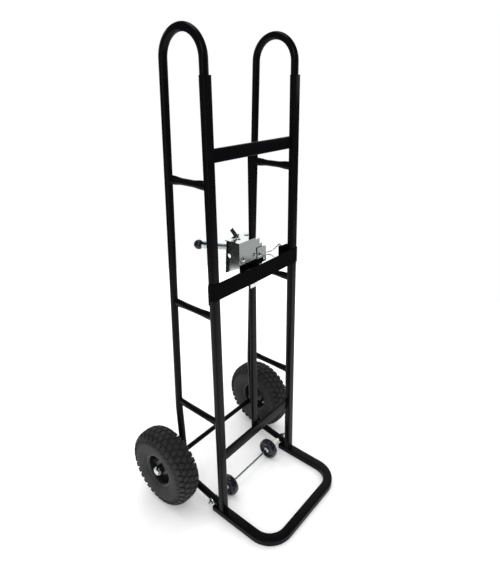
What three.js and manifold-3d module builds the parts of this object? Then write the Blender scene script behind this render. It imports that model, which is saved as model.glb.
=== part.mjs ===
import * as THREE from "three";
import { mergeVertices } from "three/addons/utils/BufferGeometryUtils.js";
import Module from "manifold-3d";

const wasm = await Module();
wasm.setup();

// Driving dimensions, millimetres. X is width, -Y is the load side, +Z is up, the floor is z = 0.
const Y0 = -51.45; // front rails' plane, so that the whole truck is centred on y = 0
const GAP = 0.3; // clearance between pieces that touch
const HALF = 177; // half the spacing of the two side frames
const TUBE = 11.1; // radius of the side loop tube
const WALL = 1.6;
const LOOP_Z = 1370; // centre height of the handle loops
const LOOP_R = 70; // centre-line radius of the handle loops
const REAR_KINK = [181.5, 330]; // y, z where the rear tube turns to run down past the axle
const REAR_FOOT = [171.2, 56.5]; // y, z of the corner where it turns to run forward
const FOOT_R = 65;
const RAIL = { back: 12.9, flat: 12.4, corner: 4, bore: 11.4, top: 1335 };
const TOE = { w: 30, h: 20, wall: 2, front: -205.5, rear: 33, r: 70 };
const BAR = { h: 35, y0: -2, y1: 8, wall: 1.5, upper: 1149, lower: 221 };
const UPRIGHT = { w: 22, y0: 8.3, y1: 18.3, z0: 207, z1: 1163 };
const RUNG = { z: [1077, 713, 356], endX: 7, endZ: 12.5, mid: 9.4 };
const AXLE = { r: 8, y: 193.4, z: 130, half: 283.4 };
const WHEEL = { x: 242, R: 130, half: 42, bead: 57 };
const ROD = { r: 4, y: 38, z: 36, half: 205 };
const SMALL = { x: 106, R: 35.5, half: 12.5 };
const STRAP = { z0: 769, h: 50, t: 2, lift: 9, drop: 21 };
const SPOOL = { x: 8, y: 42, r: 7 };
const HOUSE = { x0: -65, x1: 35, y0: 5.3, t: 2.5, z0: 806, z1: 895, deep: 54, floor: 823 };
const PAWL = { x: -19, y: 52 };
const LEVER = { x: -36, y: 36, z: 868, len: 108.7, angle: Math.atan2(0.915, -0.404) };

const mats = {
  black: [0x141416, 0.3, 0.32],
  rubber: [0x1a1a1b, 0, 0.85],
  rim: [0x101012, 0.2, 0.45],
  zinc: [0xc6ccd4, 0.95, 0.28],
  steel: [0x9a9ca0, 0.95, 0.35],
  plastic: [0x0c0c0e, 0, 0.25],
  webbing: [0x0b0b0c, 0, 0.95],
  white: [0xe8e8e4, 0, 0.4],
};
const root = new THREE.Group();
root.name = "hand_truck";
const truck = new THREE.Group();
truck.position.y = Y0;
root.add(truck);

function add(name, geometry, kind, parent = truck) {
  const [color, metalness, roughness] = mats[kind];
  const mesh = new THREE.Mesh(geometry, new THREE.MeshStandardMaterial({ color, metalness, roughness }));
  mesh.name = name;
  parent.add(mesh);
  return mesh;
}

// A three.js geometry as a manifold solid, and a solid back as a geometry.
function solid(geometry) {
  const g = geometry.clone();
  g.deleteAttribute("normal");
  g.deleteAttribute("uv");
  const m = mergeVertices(g, 1e-4);
  return new wasm.Manifold(
    new wasm.Mesh({ numProp: 3, vertProperties: new Float32Array(m.attributes.position.array), triVerts: new Uint32Array(m.index.array) }),
  );
}
function shape(made) {
  const m = made.getMesh();
  const g = new THREE.BufferGeometry();
  g.setAttribute("position", new THREE.BufferAttribute(new Float32Array(m.vertProperties), 3));
  g.setIndex(new THREE.BufferAttribute(new Uint32Array(m.triVerts), 1));
  const out = g.toNonIndexed();
  out.computeVertexNormals();
  return out;
}
const box = (x0, x1, y0, y1, z0, z1) =>
  new THREE.BoxGeometry(x1 - x0, y1 - y0, z1 - z0).translate((x0 + x1) / 2, (y0 + y1) / 2, (z0 + z1) / 2);
const rodX = (r, x0, x1, y, z, n = 16) =>
  new THREE.CylinderGeometry(r, r, x1 - x0, n).rotateZ(Math.PI / 2).translate((x0 + x1) / 2, y, z);
const rodY = (r, y0, y1, x, z, n = 12) => new THREE.CylinderGeometry(r, r, y1 - y0, n).translate(x, (y0 + y1) / 2, z);
const rodZ = (r, z0, z1, x, y, n = 16) =>
  new THREE.CylinderGeometry(r, r, z1 - z0, n).rotateX(Math.PI / 2).translate(x, y, (z0 + z1) / 2);
const ring = (ro, ri, h, n = 16) =>
  new THREE.LatheGeometry([[ri, -h / 2], [ro, -h / 2], [ro, h / 2], [ri, h / 2], [ri, -h / 2]].map((p) => new THREE.Vector2(...p)), n);
const hexX = (r, ri, x0, x1, y, z) => {
  const nut = solid(new THREE.CylinderGeometry(r, r, x1 - x0, 6).rotateZ(Math.PI / 2));
  const made = ri ? nut.subtract(solid(rodX(ri, -50, 50, 0, 0, 16))) : nut;
  return shape(made).translate((x0 + x1) / 2, y, z);
};
const hexY = (r, y0, y1, x, z) => new THREE.CylinderGeometry(r, r, y1 - y0, 6).translate(x, (y0 + y1) / 2, z);

// A path made of listed points, for sections swept with uneven spacing.
class Listed extends THREE.Curve {
  constructor(points) {
    super();
    this.points = points;
  }
  getPoint(t) {
    return this.points[Math.round(t * (this.points.length - 1))].clone();
  }
  getPointAt(t) {
    return this.getPoint(t);
  }
  getSpacedPoints() {
    return this.points.map((p) => p.clone());
  }
  getTangentAt(t) {
    const i = Math.round(t * (this.points.length - 1));
    const a = this.points[Math.max(0, i - 1)];
    const b = this.points[Math.min(this.points.length - 1, i + 1)];
    return b.clone().sub(a).normalize();
  }
}
const circle = (r, n) => {
  const s = new THREE.Shape();
  for (let i = 0; i < n; i++) {
    const a = (i / n) * 2 * Math.PI;
    i ? s.lineTo(r * Math.cos(a), r * Math.sin(a)) : s.moveTo(r, 0);
  }
  s.closePath();
  return s;
};
function rounded(x0, x1, y0, y1, r, n = 3) {
  const s = new THREE.Shape();
  const pts = [];
  for (const [cx, cy, a] of [[x1 - r, y1 - r, 0], [x0 + r, y1 - r, 1], [x0 + r, y0 + r, 2], [x1 - r, y0 + r, 3]])
    for (let i = 0; i <= n; i++) {
      const t = ((a + i / n) * Math.PI) / 2;
      pts.push(new THREE.Vector2(cx + r * Math.cos(t), cy + r * Math.sin(t)));
    }
  s.setFromPoints(pts);
  return s;
}
function extrude(s, depth) {
  return new THREE.ExtrudeGeometry(s, { depth, bevelEnabled: false, steps: 1, curveSegments: 12 });
}
// Corner points of a polyline rounded with the given radii, in the plane of two coordinates.
function filleted(corners, step) {
  const out = [];
  corners.forEach(([a, b, r], i) => {
    if (!r || !i || i === corners.length - 1) return out.push([a, b]);
    const p = new THREE.Vector2(corners[i - 1][0] - a, corners[i - 1][1] - b).normalize();
    const q = new THREE.Vector2(corners[i + 1][0] - a, corners[i + 1][1] - b).normalize();
    const half = Math.acos(p.dot(q)) / 2;
    const back = r / Math.tan(half);
    const mid = p.clone().add(q).normalize().multiplyScalar(r / Math.sin(half));
    const c = new THREE.Vector2(a, b).add(mid);
    const s = new THREE.Vector2(a, b).addScaledVector(p, back).sub(c);
    const turn = (Math.PI - 2 * half) * Math.sign(p.cross(q)) * -1;
    const n = Math.max(2, Math.ceil(Math.abs(turn) / step));
    for (let k = 0; k <= n; k++) {
      const v = s.clone().rotateAround(new THREE.Vector2(), (turn * k) / n).add(c);
      out.push([v.x, v.y]);
    }
  });
  return out;
}

// Side loop tubes: plug into the rail, over the handle bend, down the back and forward to the foot.
const loopLine = [[0, 1297], [0, LOOP_Z]];
for (let i = 1; i < 12; i++) {
  const a = Math.PI - (i / 12) * Math.PI;
  loopLine.push([LOOP_R + LOOP_R * Math.cos(a), LOOP_Z + LOOP_R * Math.sin(a)]);
}
const footSlope = Math.tan(THREE.MathUtils.degToRad(8.8));
const footEnd = [RAIL.back + 2.1, 33.2 + (RAIL.back + 2.1 - 21.7) * footSlope];
loopLine.push(...filleted([[2 * LOOP_R, LOOP_Z], [...REAR_KINK, 260], [...REAR_FOOT, FOOT_R], footEnd], 0.25));
const tubeSection = circle(TUBE, 12);
tubeSection.holes.push(circle(TUBE - WALL, 8));
const loopPath = new Listed(loopLine.map(([y, z]) => new THREE.Vector3(0, y, z)));
const loopTube = shape(
  solid(new THREE.ExtrudeGeometry(tubeSection, { steps: loopLine.length - 1, extrudePath: loopPath, bevelEnabled: false }))
    .subtract(solid(rodX(ROD.r + GAP, -20, 20, ROD.y, ROD.z, 16))),
);

// Front rails: round at the back, flat at the front, bored for the loop tube.
const railShape = new THREE.Shape();
{
  const pts = [];
  for (let i = 0; i <= 14; i++) {
    const a = (i / 14) * Math.PI;
    pts.push([RAIL.back * Math.cos(a), RAIL.back * Math.sin(a)]);
  }
  for (const s of [-1, 1])
    for (let i = 0; i <= 3; i++) {
      const t = (s < 0 ? i : 3 - i) * (Math.PI / 6);
      pts.push([s * (RAIL.back - RAIL.corner + RAIL.corner * Math.cos(t)), -(RAIL.flat - RAIL.corner + RAIL.corner * Math.sin(t))]);
    }
  railShape.setFromPoints(pts.map((p) => new THREE.Vector2(...p)));
  railShape.holes.push(circle(RAIL.bore, 24));
}
const rail = extrude(railShape, RAIL.top - TOE.h - GAP).translate(0, 0, TOE.h + GAP);

// Where the rear tube's centre line is at a given height.
const rearY = (z) => {
  for (let i = 13; i < loopLine.length; i++) {
    const [y1, z1] = loopLine[i - 1];
    const [y2, z2] = loopLine[i];
    if (z <= z1 && z >= z2) return y1 + ((y2 - y1) * (z1 - z)) / (z1 - z2);
  }
  return 2 * LOOP_R;
};
// A rung: a round tube whose two ends are pressed tall and narrow where they meet the uprights.
function rung(z) {
  const y1 = rearY(z);
  const flare = (scale, over) => {
    const g = new THREE.CylinderGeometry(1, 1, y1 + 2 * over, over ? 8 : 12, over ? 1 : 6);
    const p = g.attributes.position;
    for (let i = 0; i < p.count; i++) {
      const t = Math.abs(p.getY(i)) / (y1 / 2);
      const k = over ? 0.4 : THREE.MathUtils.smoothstep(t, 0.3, 0.86);
      p.setX(i, p.getX(i) * (RUNG.mid + (RUNG.endX - RUNG.mid) * k) * scale);
      p.setZ(i, p.getZ(i) * (RUNG.mid + (RUNG.endZ - RUNG.mid) * k) * scale);
    }
    return solid(g.translate(0, y1 / 2, z));
  };
  const tilt = (rearY(z - 30) - rearY(z + 30)) / 60;
  const rear = new THREE.CylinderGeometry(TUBE + 0.5, TUBE + 0.5, 200, 16).rotateX(Math.PI / 2 + Math.atan(tilt)).translate(0, y1, z);
  return shape(flare(1, 0).subtract(flare(0.72, 5)).subtract(solid(rodZ(RAIL.back + 0.45, z - 40, z + 40, 0, 0, 20))).subtract(solid(rear)));
}
for (const [side, s] of [["left", -1], ["right", 1]]) {
  add(`side_loop_${side}`, loopTube.clone(), "black").position.x = s * HALF;
  add(`front_rail_${side}`, rail.clone(), "black").position.x = s * HALF;
  RUNG.z.forEach((z, i) => {
    add(`rung_${side}_${["upper", "middle", "lower"][i]}`, rung(z), "black").position.x = s * HALF;
  });
}

// Cross bars: flat rectangular tube, both ends shaped to the rails.
function crossBar(zc) {
  const outer = extrude(rounded(BAR.y0, BAR.y1, -BAR.h / 2, BAR.h / 2, 2.4), 2 * HALF);
  const inner = extrude(rounded(BAR.y0 + BAR.wall, BAR.y1 - BAR.wall, -BAR.h / 2 + BAR.wall, BAR.h / 2 - BAR.wall, 1.2), 2 * HALF + 20).translate(0, 0, -10);
  const place = (g) => solid(g.rotateX(Math.PI / 2).rotateZ(Math.PI / 2).translate(-HALF, 0, zc));
  let made = place(outer).subtract(place(inner));
  for (const s of [-1, 1]) {
    const x = s * HALF;
    made = made
      .subtract(solid(rodZ(RAIL.back + 0.45, zc - 60, zc + 60, x, 0, 20)))
      .subtract(solid(box(x - RAIL.back - GAP, x + RAIL.back + GAP, -20, 0, zc - 60, zc + 60)))
      .subtract(solid(box(s > 0 ? x : x - 40, s > 0 ? x + 40 : x, -30, 40, zc - 60, zc + 60)));
  }
  return shape(made);
}
add("cross_bar_upper", crossBar(BAR.upper), "black");
add("cross_bar_lower", crossBar(BAR.lower), "black");
{
  const s = rounded(-UPRIGHT.w / 2, UPRIGHT.w / 2, UPRIGHT.y0, UPRIGHT.y1, 2.2);
  s.holes.push(rounded(-UPRIGHT.w / 2 + 1.5, UPRIGHT.w / 2 - 1.5, UPRIGHT.y0 + 1.5, UPRIGHT.y1 - 1.5, 1.2));
  const bolts = [755, 842].map((z) => solid(rodY(3.3, 0, 30, 0, z, 12)));
  add("centre_upright", shape(solid(extrude(s, UPRIGHT.z1 - UPRIGHT.z0).translate(0, 0, UPRIGHT.z0)).subtract(bolts[0]).subtract(bolts[1])), "black");
}

// Toe loop: rectangular tube bent to a U, flat on the floor.
function toeShape(inset, over) {
  const half = TOE.w / 2 - inset;
  const side = (d) =>
    filleted([[-(HALF + d), TOE.rear + over], [-(HALF + d), TOE.front - d, TOE.r + d], [HALF + d, TOE.front - d, TOE.r + d], [HALF + d, TOE.rear + over]], 0.2);
  const s = new THREE.Shape();
  s.setFromPoints([...side(half), ...side(-half).reverse()].map((p) => new THREE.Vector2(...p)));
  return s;
}
{
  const outer = new THREE.ExtrudeGeometry(toeShape(1.6, -1.6), { depth: TOE.h - 3.2, bevelEnabled: true, bevelSize: 1.6, bevelThickness: 1.6, bevelSegments: 1, steps: 1 }).translate(0, 0, 1.6);
  const inner = extrude(toeShape(TOE.wall, 10), TOE.h - 2 * TOE.wall).translate(0, 0, TOE.wall);
  add("toe_loop", shape(solid(outer).subtract(solid(inner))), "black");
}

// Main axle, welded behind the rear tubes, and what holds the wheels on it.
add("main_axle", rodX(AXLE.r, -AXLE.half, AXLE.half, AXLE.y, AXLE.z, 20), "black");
for (const [side, s] of [["left", -1], ["right", 1]]) {
  const turned = (g, x) => g.rotateZ(Math.PI / 2).translate(s * x, AXLE.y, AXLE.z);
  add(`axle_collar_${side}`, turned(ring(12.5, AXLE.r + GAP, 5), 192), "black");
  add(`axle_washer_${side}`, turned(ring(14, AXLE.r + GAP, 2), 276.8), "zinc");
  const a = s > 0 ? 278.2 : -282.8;
  add(`axle_nut_${side}`, hexX(13, AXLE.r + GAP, a, a + 4.6, AXLE.y, AXLE.z), "zinc");
}

// One main wheel about its own centre, its axis on X and its outer face towards -X.
function lathe(points, n) {
  return new THREE.LatheGeometry(points.map((p) => new THREE.Vector2(...p)), n);
}
const onX = (g) => g.rotateZ(Math.PI / 2);
function tyre() {
  const outer = [];
  const w = WHEEL.half;
  const arch = [[51.6, 25.2], [62, 32], [80, 40.2], [98, 42], [119, 36], [130, 10]];
  arch.forEach(([r, x]) => outer.push([r, x]));
  arch.slice().reverse().forEach(([r, x]) => outer.push([r, -x]));
  const inner = [[51.6, -17], [94, -33], [118, 0], [94, 33], [51.6, 17]];
  const profile = [...outer, ...inner, outer[0]];
  let made = solid(lathe(profile.reverse(), 28));
  const cuts = [];
  const n = 12;
  for (let i = 0; i < n; i++)
    for (const s of [-1, 1]) {
      const g = new THREE.BoxGeometry(16, 16, 11);
      g.rotateY(s * 0.35).translate(0, 0, 0);
      g.rotateZ(-s * 0.75).translate(124.5, s * 33, 0);
      g.rotateY(((i + (s > 0 ? 0.5 : 0)) / n) * 2 * Math.PI + 0.06);
      cuts.push(solid(g));
    }
  made = made.subtract(wasm.Manifold.union(cuts));
  return shape(made);
}
const tyreShape = onX(tyre());
// Pressed steel rim halves: a disc that steps out to the bead seat and flange, bolted back to back.
function rimHalf() {
  const seen = [[14.9, 15.2], [26, 15.2], [37, 2.4], [45.5, 2.4], [48.6, 8], [48.6, 27.6], [57, 32.6]];
  const hidden = [[14.9, 13], [25, 13], [36, 0.15], [46.8, 0.15], [50.8, 7.4], [50.8, 26], [58, 30.6]];
  return [...seen, ...hidden.reverse(), seen[0]];
}
const rimHalfShape = () => {
  let made = solid(lathe(rimHalf().reverse(), 28));
  const cuts = [];
  for (let i = 0; i < 4; i++) cuts.push(solid(new THREE.CylinderGeometry(3.4, 3.4, 20, 6).translate(41, 0, 0).rotateY(((i + 0.5) * Math.PI) / 2)));
  cuts.push(solid(new THREE.CylinderGeometry(4.6, 4.6, 14, 8).rotateZ(Math.PI / 2).translate(50, 11, 0)));
  return made.subtract(wasm.Manifold.union(cuts));
};
const HUB = { r: 14.4, half: 40.2, inward: 6.8 };
for (const [side, s] of [["left", -1], ["right", 1]]) {
  const wheel = new THREE.Group();
  wheel.position.set(s * WHEEL.x, AXLE.y, AXLE.z);
  truck.add(wheel);
  const out = (g) => (s < 0 ? g : g.rotateZ(Math.PI));
  add(`tyre_${side}`, out(tyreShape.clone()), "rubber", wheel);
  const half = shape(rimHalfShape());
  add(`rim_outer_${side}`, out(onX(half.clone())), "rim", wheel);
  add(`rim_inner_${side}`, out(onX(shape(rimHalfShape()).rotateX(Math.PI))), "rim", wheel);
  add(`valve_stem_${side}`, out(onX(new THREE.CylinderGeometry(3.6, 3, 18, 8).rotateZ(-Math.PI / 2).translate(44, 11, 0))), "rubber", wheel);
  add(`wheel_hub_${side}`, out(onX(ring(HUB.r, AXLE.r + GAP, 2 * HUB.half, 20).translate(0, -HUB.inward, 0))), "steel", wheel);
}

// Small wheels on a rod through the two side tubes.
add("small_wheel_rod", rodX(ROD.r, -ROD.half, ROD.half, ROD.y, ROD.z, 20), "zinc");
const smallTyre = lathe(
  [[4.4, -9], [12, -9], [13, -5], [24, -5], [27, -12.5], [33.5, -11], [35.5, -3], [35.5, 3], [33.5, 11], [27, 12.5], [24, 5], [13, 5], [12, 9], [4.4, 9], [4.4, -9]],
  20,
);
for (const [side, s] of [["left", -1], ["right", 1]]) {
  const at = (g, x) => onX(g).translate(s * x, ROD.y, ROD.z);
  add(`small_wheel_${side}`, at(smallTyre.clone(), SMALL.x), "plastic");
  add(`rod_washer_${side}`, at(ring(9, ROD.r + GAP, 1.6), SMALL.x - 9.3 - 0.8), "zinc");
  add(`rod_spacer_${side}`, at(ring(6.2, ROD.r + GAP, 49.8), SMALL.x + 9.4 + 24.9), "white");
  const a = s > 0 ? 190.4 : -197.4;
  add(`rod_nut_${side}`, hexX(8, ROD.r + GAP, a, a + 7, ROD.y, ROD.z), "zinc");
}

// Ratchet housing: zinc sheet, a front web with a tongue down the upright, a left cheek and two bearing plates.
const H = HOUSE;
{
  const web = new THREE.Shape();
  web.setFromPoints(
    [[H.x0, H.z0], [-17, H.z0], [-17, 742], [17, 742], [17, H.z0], [H.x1, H.z0], [H.x1, 872], [24, 872], [24, 889], [6, 889], [6, H.z1], [H.x0, H.z1]].map((p) => new THREE.Vector2(...p)),
  );
  const up = (g, y) => g.rotateX(Math.PI / 2).translate(0, y, 0);
  const cheek = (x, z0, z1, deep) => box(x, x + H.t, H.y0, deep, z0, z1);
  const outline = new THREE.Shape();
  outline.setFromPoints([[H.y0, 821], [62, 793], [H.deep, H.z1], [H.y0, H.z1]].map((p) => new THREE.Vector2(...p)));
  const side = solid(extrude(outline, H.t).rotateX(Math.PI / 2).rotateZ(Math.PI / 2).translate(H.x0, 0, 0));
  let made = solid(up(extrude(web, H.t), H.y0 + H.t))
    .add(side)
    .add(solid(box(H.x0, -12.5, H.y0, H.deep + 6, H.z1 - H.t, H.z1)))
    .add(solid(box(H.x0, -12.5, H.y0, H.deep + 6, H.floor, H.floor + H.t)))
    .add(solid(box(-13, 25, 19.5, H.deep + 6, H.z1 - H.t, H.z1)))
    .add(solid(box(-13, 25, 19.5, H.deep + 6, H.floor, H.floor + H.t)))
    .add(solid(cheek(H.x1 - H.t, H.z0, 860, 30)));
  const holes = [
    rodX(6.5, -80, -40, 45, 850, 20),
    rodZ(SPOOL.r + GAP, 815, 905, SPOOL.x, SPOOL.y, 24),
    rodZ(SPOOL.r + GAP, 815, 905, LEVER.x, LEVER.y, 24),
    rodZ(3.3, 815, 905, PAWL.x, PAWL.y, 12),
    rodY(3.3, 0, 12, 0, 755, 12),
    rodY(3.3, 0, 12, 0, 842, 12),
    rodY(4.3, 0, 12, -49, 843, 16),
    rodY(4.3, 0, 12, 19.5, 838.5, 16),
  ];
  for (const h of holes) made = made.subtract(solid(h));
  add("ratchet_housing", shape(made), "zinc");
}
// Hook plate in front of the web: a stepped tab with a slot for the bail.
{
  const s = new THREE.Shape();
  s.setFromPoints([[10, 812], [50, 812], [50, 858], [38, 862], [10, 862]].map((p) => new THREE.Vector2(...p)));
  const slot = new THREE.Path();
  slot.setFromPoints([[39, 818], [39, 840], [45, 840], [45, 818]].map((p) => new THREE.Vector2(...p)));
  s.holes.push(slot);
  const plate = solid(extrude(s, 2.4).rotateX(Math.PI / 2).translate(0, H.y0 - GAP, 0)).subtract(solid(rodY(4.3, -5, 12, 19.5, 838.5, 16)));
  add("hook_plate", shape(plate), "zinc");
}
const bolt = (r, x, z, face, length) => {
  const head = solid(hexY(1.88 * r, face - 0.7 * r - 1.6, face - 1.5, x, z)).add(solid(rodY(2.1 * r, face - 1.6, face, x, z, 24)));
  return shape(head.add(solid(rodY(r, face - 1, face + length, x, z, 16))));
};
add("housing_bolt_1", bolt(3, 0, 842, H.y0 - GAP, 17.5), "zinc");
add("housing_bolt_2", bolt(3, 0, 755, H.y0 - GAP, 17.5), "zinc");
add("housing_bolt_3", bolt(4, -49, 843, H.y0 - GAP, 11), "zinc");
add("housing_bolt_4", bolt(4, 19.5, 838.5, H.y0 - 2.7 - GAP, 13.5), "zinc");

// Wire bail through the strap's sewn loop, its two arms brought together and hooked through the plate's slot.
{
  const line = [
    [140, 19.4, 769.5], [143, 19.6, 773], [143, 19.6, 786], [143, 19.6, 818], [143, 19.6, 831.5], [140, 19.4, 834.5], [118, 17.4, 831], [92, 14.5, 827.5], [62, 9.8, 833], [47, 9, 832.5], [42, 6, 832], [42, 0, 831.5], [42, -1.5, 829],
    [42, 0, 826.5], [42, 6, 826], [47, 9, 825.5], [62, 9.8, 825], [84, 13.5, 817], [112, 17, 797], [134, 19, 774.5],
  ].map((p) => new THREE.Vector3(...p));
  const curve = new THREE.CatmullRomCurve3(line, true, "centripetal");
  add("strap_bail", shape(solid(new THREE.TubeGeometry(curve, 72, 1.5, 6, true))), "zinc");
}

// Spool, ratchet wheel, pawl and lever, all turning on upright axes; the lever turns on a fixed post.
add("lever_post", shape(solid(rodZ(SPOOL.r, 818, 897, LEVER.x, LEVER.y, 20))), "steel");
const spool = new THREE.Group();
spool.position.set(SPOOL.x, SPOOL.y, 0);
truck.add(spool);
add(
  "spool_shaft",
  shape(solid(rodZ(SPOOL.r, 742, 897, 0, 0, 20)).subtract(solid(box(-1.6, 1.6, -12, 12, 746, 800)))),
  "steel",
  spool,
);
{
  const s = new THREE.Shape();
  const teeth = 12;
  const pts = [];
  for (let i = 0; i < teeth; i++) {
    const a = (i / teeth) * 2 * Math.PI;
    const b = ((i + 1) / teeth) * 2 * Math.PI;
    pts.push([17 * Math.cos(a), 17 * Math.sin(a)], [12.6 * Math.cos(a + 0.05), 12.6 * Math.sin(a + 0.05)], [14.6 * Math.cos((a + b) / 2 + 0.08), 14.6 * Math.sin((a + b) / 2 + 0.08)]);
  }
  s.setFromPoints(pts.map((p) => new THREE.Vector2(...p)));
  s.holes.push(circle(SPOOL.r + GAP, 20));
  add("ratchet_wheel", extrude(s, 6).translate(0, 0, 827), "zinc", spool);
}
{
  const g = new THREE.Group();
  g.position.set(LEVER.x, LEVER.y, LEVER.z);
  g.rotation.z = LEVER.angle;
  truck.add(g);
  const hub = solid(rodZ(12.5, -10, 10, 0, 0, 20));
  const arm = solid(rodX(9, 8, LEVER.len, 0, 0, 24));
  add("lever", shape(hub.add(arm).subtract(solid(rodZ(SPOOL.r + GAP, -20, 20, 0, 0, 20)))), "steel", g);
  add("lever_collar", shape(solid(rodX(11.5, LEVER.len - 16, LEVER.len + 1, 0, 0, 24)).subtract(solid(rodX(9 + 2 * GAP, LEVER.len - 30, LEVER.len + 1 - 0.7, 0, 0, 24)))), "zinc", g);
  const ball = new THREE.SphereGeometry(14.5, 16, 12).rotateZ(Math.PI / 2).translate(LEVER.len + 13, 0, 0);
  add("lever_ball", shape(solid(ball).subtract(solid(box(LEVER.len - 5, LEVER.len + 1 + GAP, -20, 20, -20, 20)))), "plastic", g);
}
// Pawl on its own pin at the wheel's level, with a release tab above the top plate.
{
  const g = new THREE.Group();
  g.position.set(PAWL.x, PAWL.y, 0);
  truck.add(g);
  const pin = solid(rodZ(3, 826, 903, 0, 0, 16)).add(solid(rodZ(4.6, 826, 835, 0, 0, 20)));
  const blade = new THREE.Shape();
  blade.setFromPoints([[0, 4.2], [-3.6, 0], [-1.5, -4], [5, -7], [8.6, -7.4], [9.2, -4.6], [4.5, 1.5]].map((p) => new THREE.Vector2(...p)));
  add("pawl", shape(pin.add(solid(extrude(blade, 5).translate(0, 0, 828)))), "steel", g);
  // The tab stands on a flat foot and leans to the left in a plane turned toward the front left.
  const tab = new THREE.Shape();
  tab.setFromPoints([[-12, 0], [1.5, 0], [-14.6, 24.7], [-22.5, 16.9]].map((p) => new THREE.Vector2(...p)));
  const foot = box(-33, 6, -2.8, 5.4, 898, 900.4).rotateZ(0.29);
  const strip = solid(extrude(tab, 2.4).rotateX(Math.PI / 2).translate(0, 0.4, 898).rotateZ(-0.657)).add(solid(foot));
  add("release_tab", shape(strip.subtract(solid(rodZ(3 + GAP, 890, 904, 0, 0, 16)))), "zinc", g);
}

// Webbing strap: wound on the spool, round the left rail, across the front, round the right rail, ending in a sewn loop.
function strapLine() {
  const pts = [];
  const r0 = 9.2;
  const pitch = 2.7;
  const turns = 3;
  const per = 12;
  for (let i = 0; i <= turns * per; i++) {
    const a = -Math.PI / 2 + 2 * Math.PI * (turns - i / per);
    const r = r0 + (pitch * i) / per;
    pts.push([SPOOL.x + r * Math.cos(a), SPOOL.y + r * Math.sin(a)]);
  }
  const c = RAIL.back + GAP + STRAP.t / 2;
  const front = -(RAIL.flat + GAP + STRAP.t / 2);
  const cr = RAIL.corner + GAP + STRAP.t / 2;
  const wrap = (x, s) => {
    const out = [];
    for (let i = 0; i <= 6; i++) {
      const a = Math.PI / 2 + ((s < 0 ? 1 : -1) * (Math.PI / 2) * i) / 6;
      out.push([x + c * Math.cos(a), c * Math.sin(a)]);
    }
    for (let i = 0; i <= 3; i++) {
      const a = (i / 3) * (Math.PI / 2);
      out.push([x + s * (c - cr + cr * Math.cos(a)), front + cr - cr * Math.sin(a)]);
    }
    return out;
  };
  const left = wrap(-HALF, -1);
  left.shift();
  left.unshift([-HALF - 3, c - 0.25]);
  pts.push(...left);
  pts.push(...wrap(HALF, 1).reverse());
  pts.push([HALF - 8, c], [HALF - 22, c + 0.6]);
  const ex = HALF - 34;
  for (let i = 0; i <= 10; i++) {
    const a = -Math.PI / 2 - (i / 10) * 1.72 * Math.PI;
    pts.push([ex + 4.2 * Math.cos(a) * -1 * -1, c + 5.4 + 4.2 * Math.sin(a)]);
  }
  return pts;
}
{
  const line = strapLine();
  const side = (d) =>
    line.map(([x, y], i) => {
      const a = line[Math.max(0, i - 1)];
      const b = line[Math.min(line.length - 1, i + 1)];
      const l = Math.hypot(b[0] - a[0], b[1] - a[1]);
      return new THREE.Vector2(x - (d * (b[1] - a[1])) / l, y + (d * (b[0] - a[0])) / l);
    });
  const s = new THREE.Shape();
  s.setFromPoints([...side(STRAP.t / 2), ...side(-STRAP.t / 2).reverse()]);
  const g = extrude(s, STRAP.h).translate(0, 0, STRAP.z0);
  const p = g.attributes.position;
  for (let i = 0; i < p.count; i++) {
    const x = p.getX(i);
    const y = p.getY(i);
    const rise = STRAP.lift * THREE.MathUtils.smoothstep(y, -10, 12) * THREE.MathUtils.smoothstep(x, 75, 150);
    const fall = x < 60 ? STRAP.drop * THREE.MathUtils.smoothstep(y, 2, 14) : 0;
    p.setZ(i, p.getZ(i) + rise - fall);
  }
  g.computeVertexNormals();
  add("strap", g, "webbing");
}

export default root;
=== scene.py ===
import math

import bmesh
import bpy
import numpy as np
from mathutils import Matrix, Vector


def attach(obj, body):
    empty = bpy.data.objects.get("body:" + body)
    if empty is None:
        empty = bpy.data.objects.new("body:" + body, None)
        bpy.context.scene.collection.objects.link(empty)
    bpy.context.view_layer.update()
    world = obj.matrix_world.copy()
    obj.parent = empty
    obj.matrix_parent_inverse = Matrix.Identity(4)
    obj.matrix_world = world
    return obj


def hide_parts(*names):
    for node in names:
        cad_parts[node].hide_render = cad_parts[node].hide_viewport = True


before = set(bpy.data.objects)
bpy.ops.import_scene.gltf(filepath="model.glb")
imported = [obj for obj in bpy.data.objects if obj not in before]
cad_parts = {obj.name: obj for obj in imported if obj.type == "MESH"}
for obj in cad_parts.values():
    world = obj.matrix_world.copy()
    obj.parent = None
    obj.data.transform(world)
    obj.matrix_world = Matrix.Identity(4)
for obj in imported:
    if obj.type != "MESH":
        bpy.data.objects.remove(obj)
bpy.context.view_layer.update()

# ---------------------------------------------------------------------------
# Side loop tubes: 22 mm round steel tube, one for each side. It plugs into the
# cut top of the front rail, bends over as a handle, runs down the back and
# turns forward to the foot. Powder coated gloss black after welding.
# ---------------------------------------------------------------------------
RAILS_Y = -51.45  # mm from the truck's middle to the line of the front rails
SIDE_X = 177.0  # half the spacing of the two side frames
TUBE_R = 11.1
TUBE_WALL = 1.6
HANDLE_R = 70.0
HANDLE_Z = 1370.0


def linear(hex_colour):
    """sRGB hex to linear: each channel is c/12.92 when dark, else ((c + 0.055) / 1.055) to the power 2.4."""
    c = np.array([int(hex_colour[i : i + 2], 16) for i in (1, 3, 5)]) / 255
    return (*np.where(c <= 0.04045, c / 12.92, ((c + 0.055) / 1.055) ** 2.4), 1.0)


def wire(tree, node, sockets=None, **settings):
    """Adds a node to a shader tree, or takes one that is there, sets its properties, and fills or links its
    sockets."""
    if isinstance(node, str):
        node = tree.nodes.new("ShaderNode" + node)
    for key, value in settings.items():
        setattr(node, key, value)
    for key, value in (sockets or {}).items():
        if isinstance(value, bpy.types.NodeSocket):
            tree.links.new(value, node.inputs[key])
        else:
            node.inputs[key].default_value = value
    return node


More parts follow.
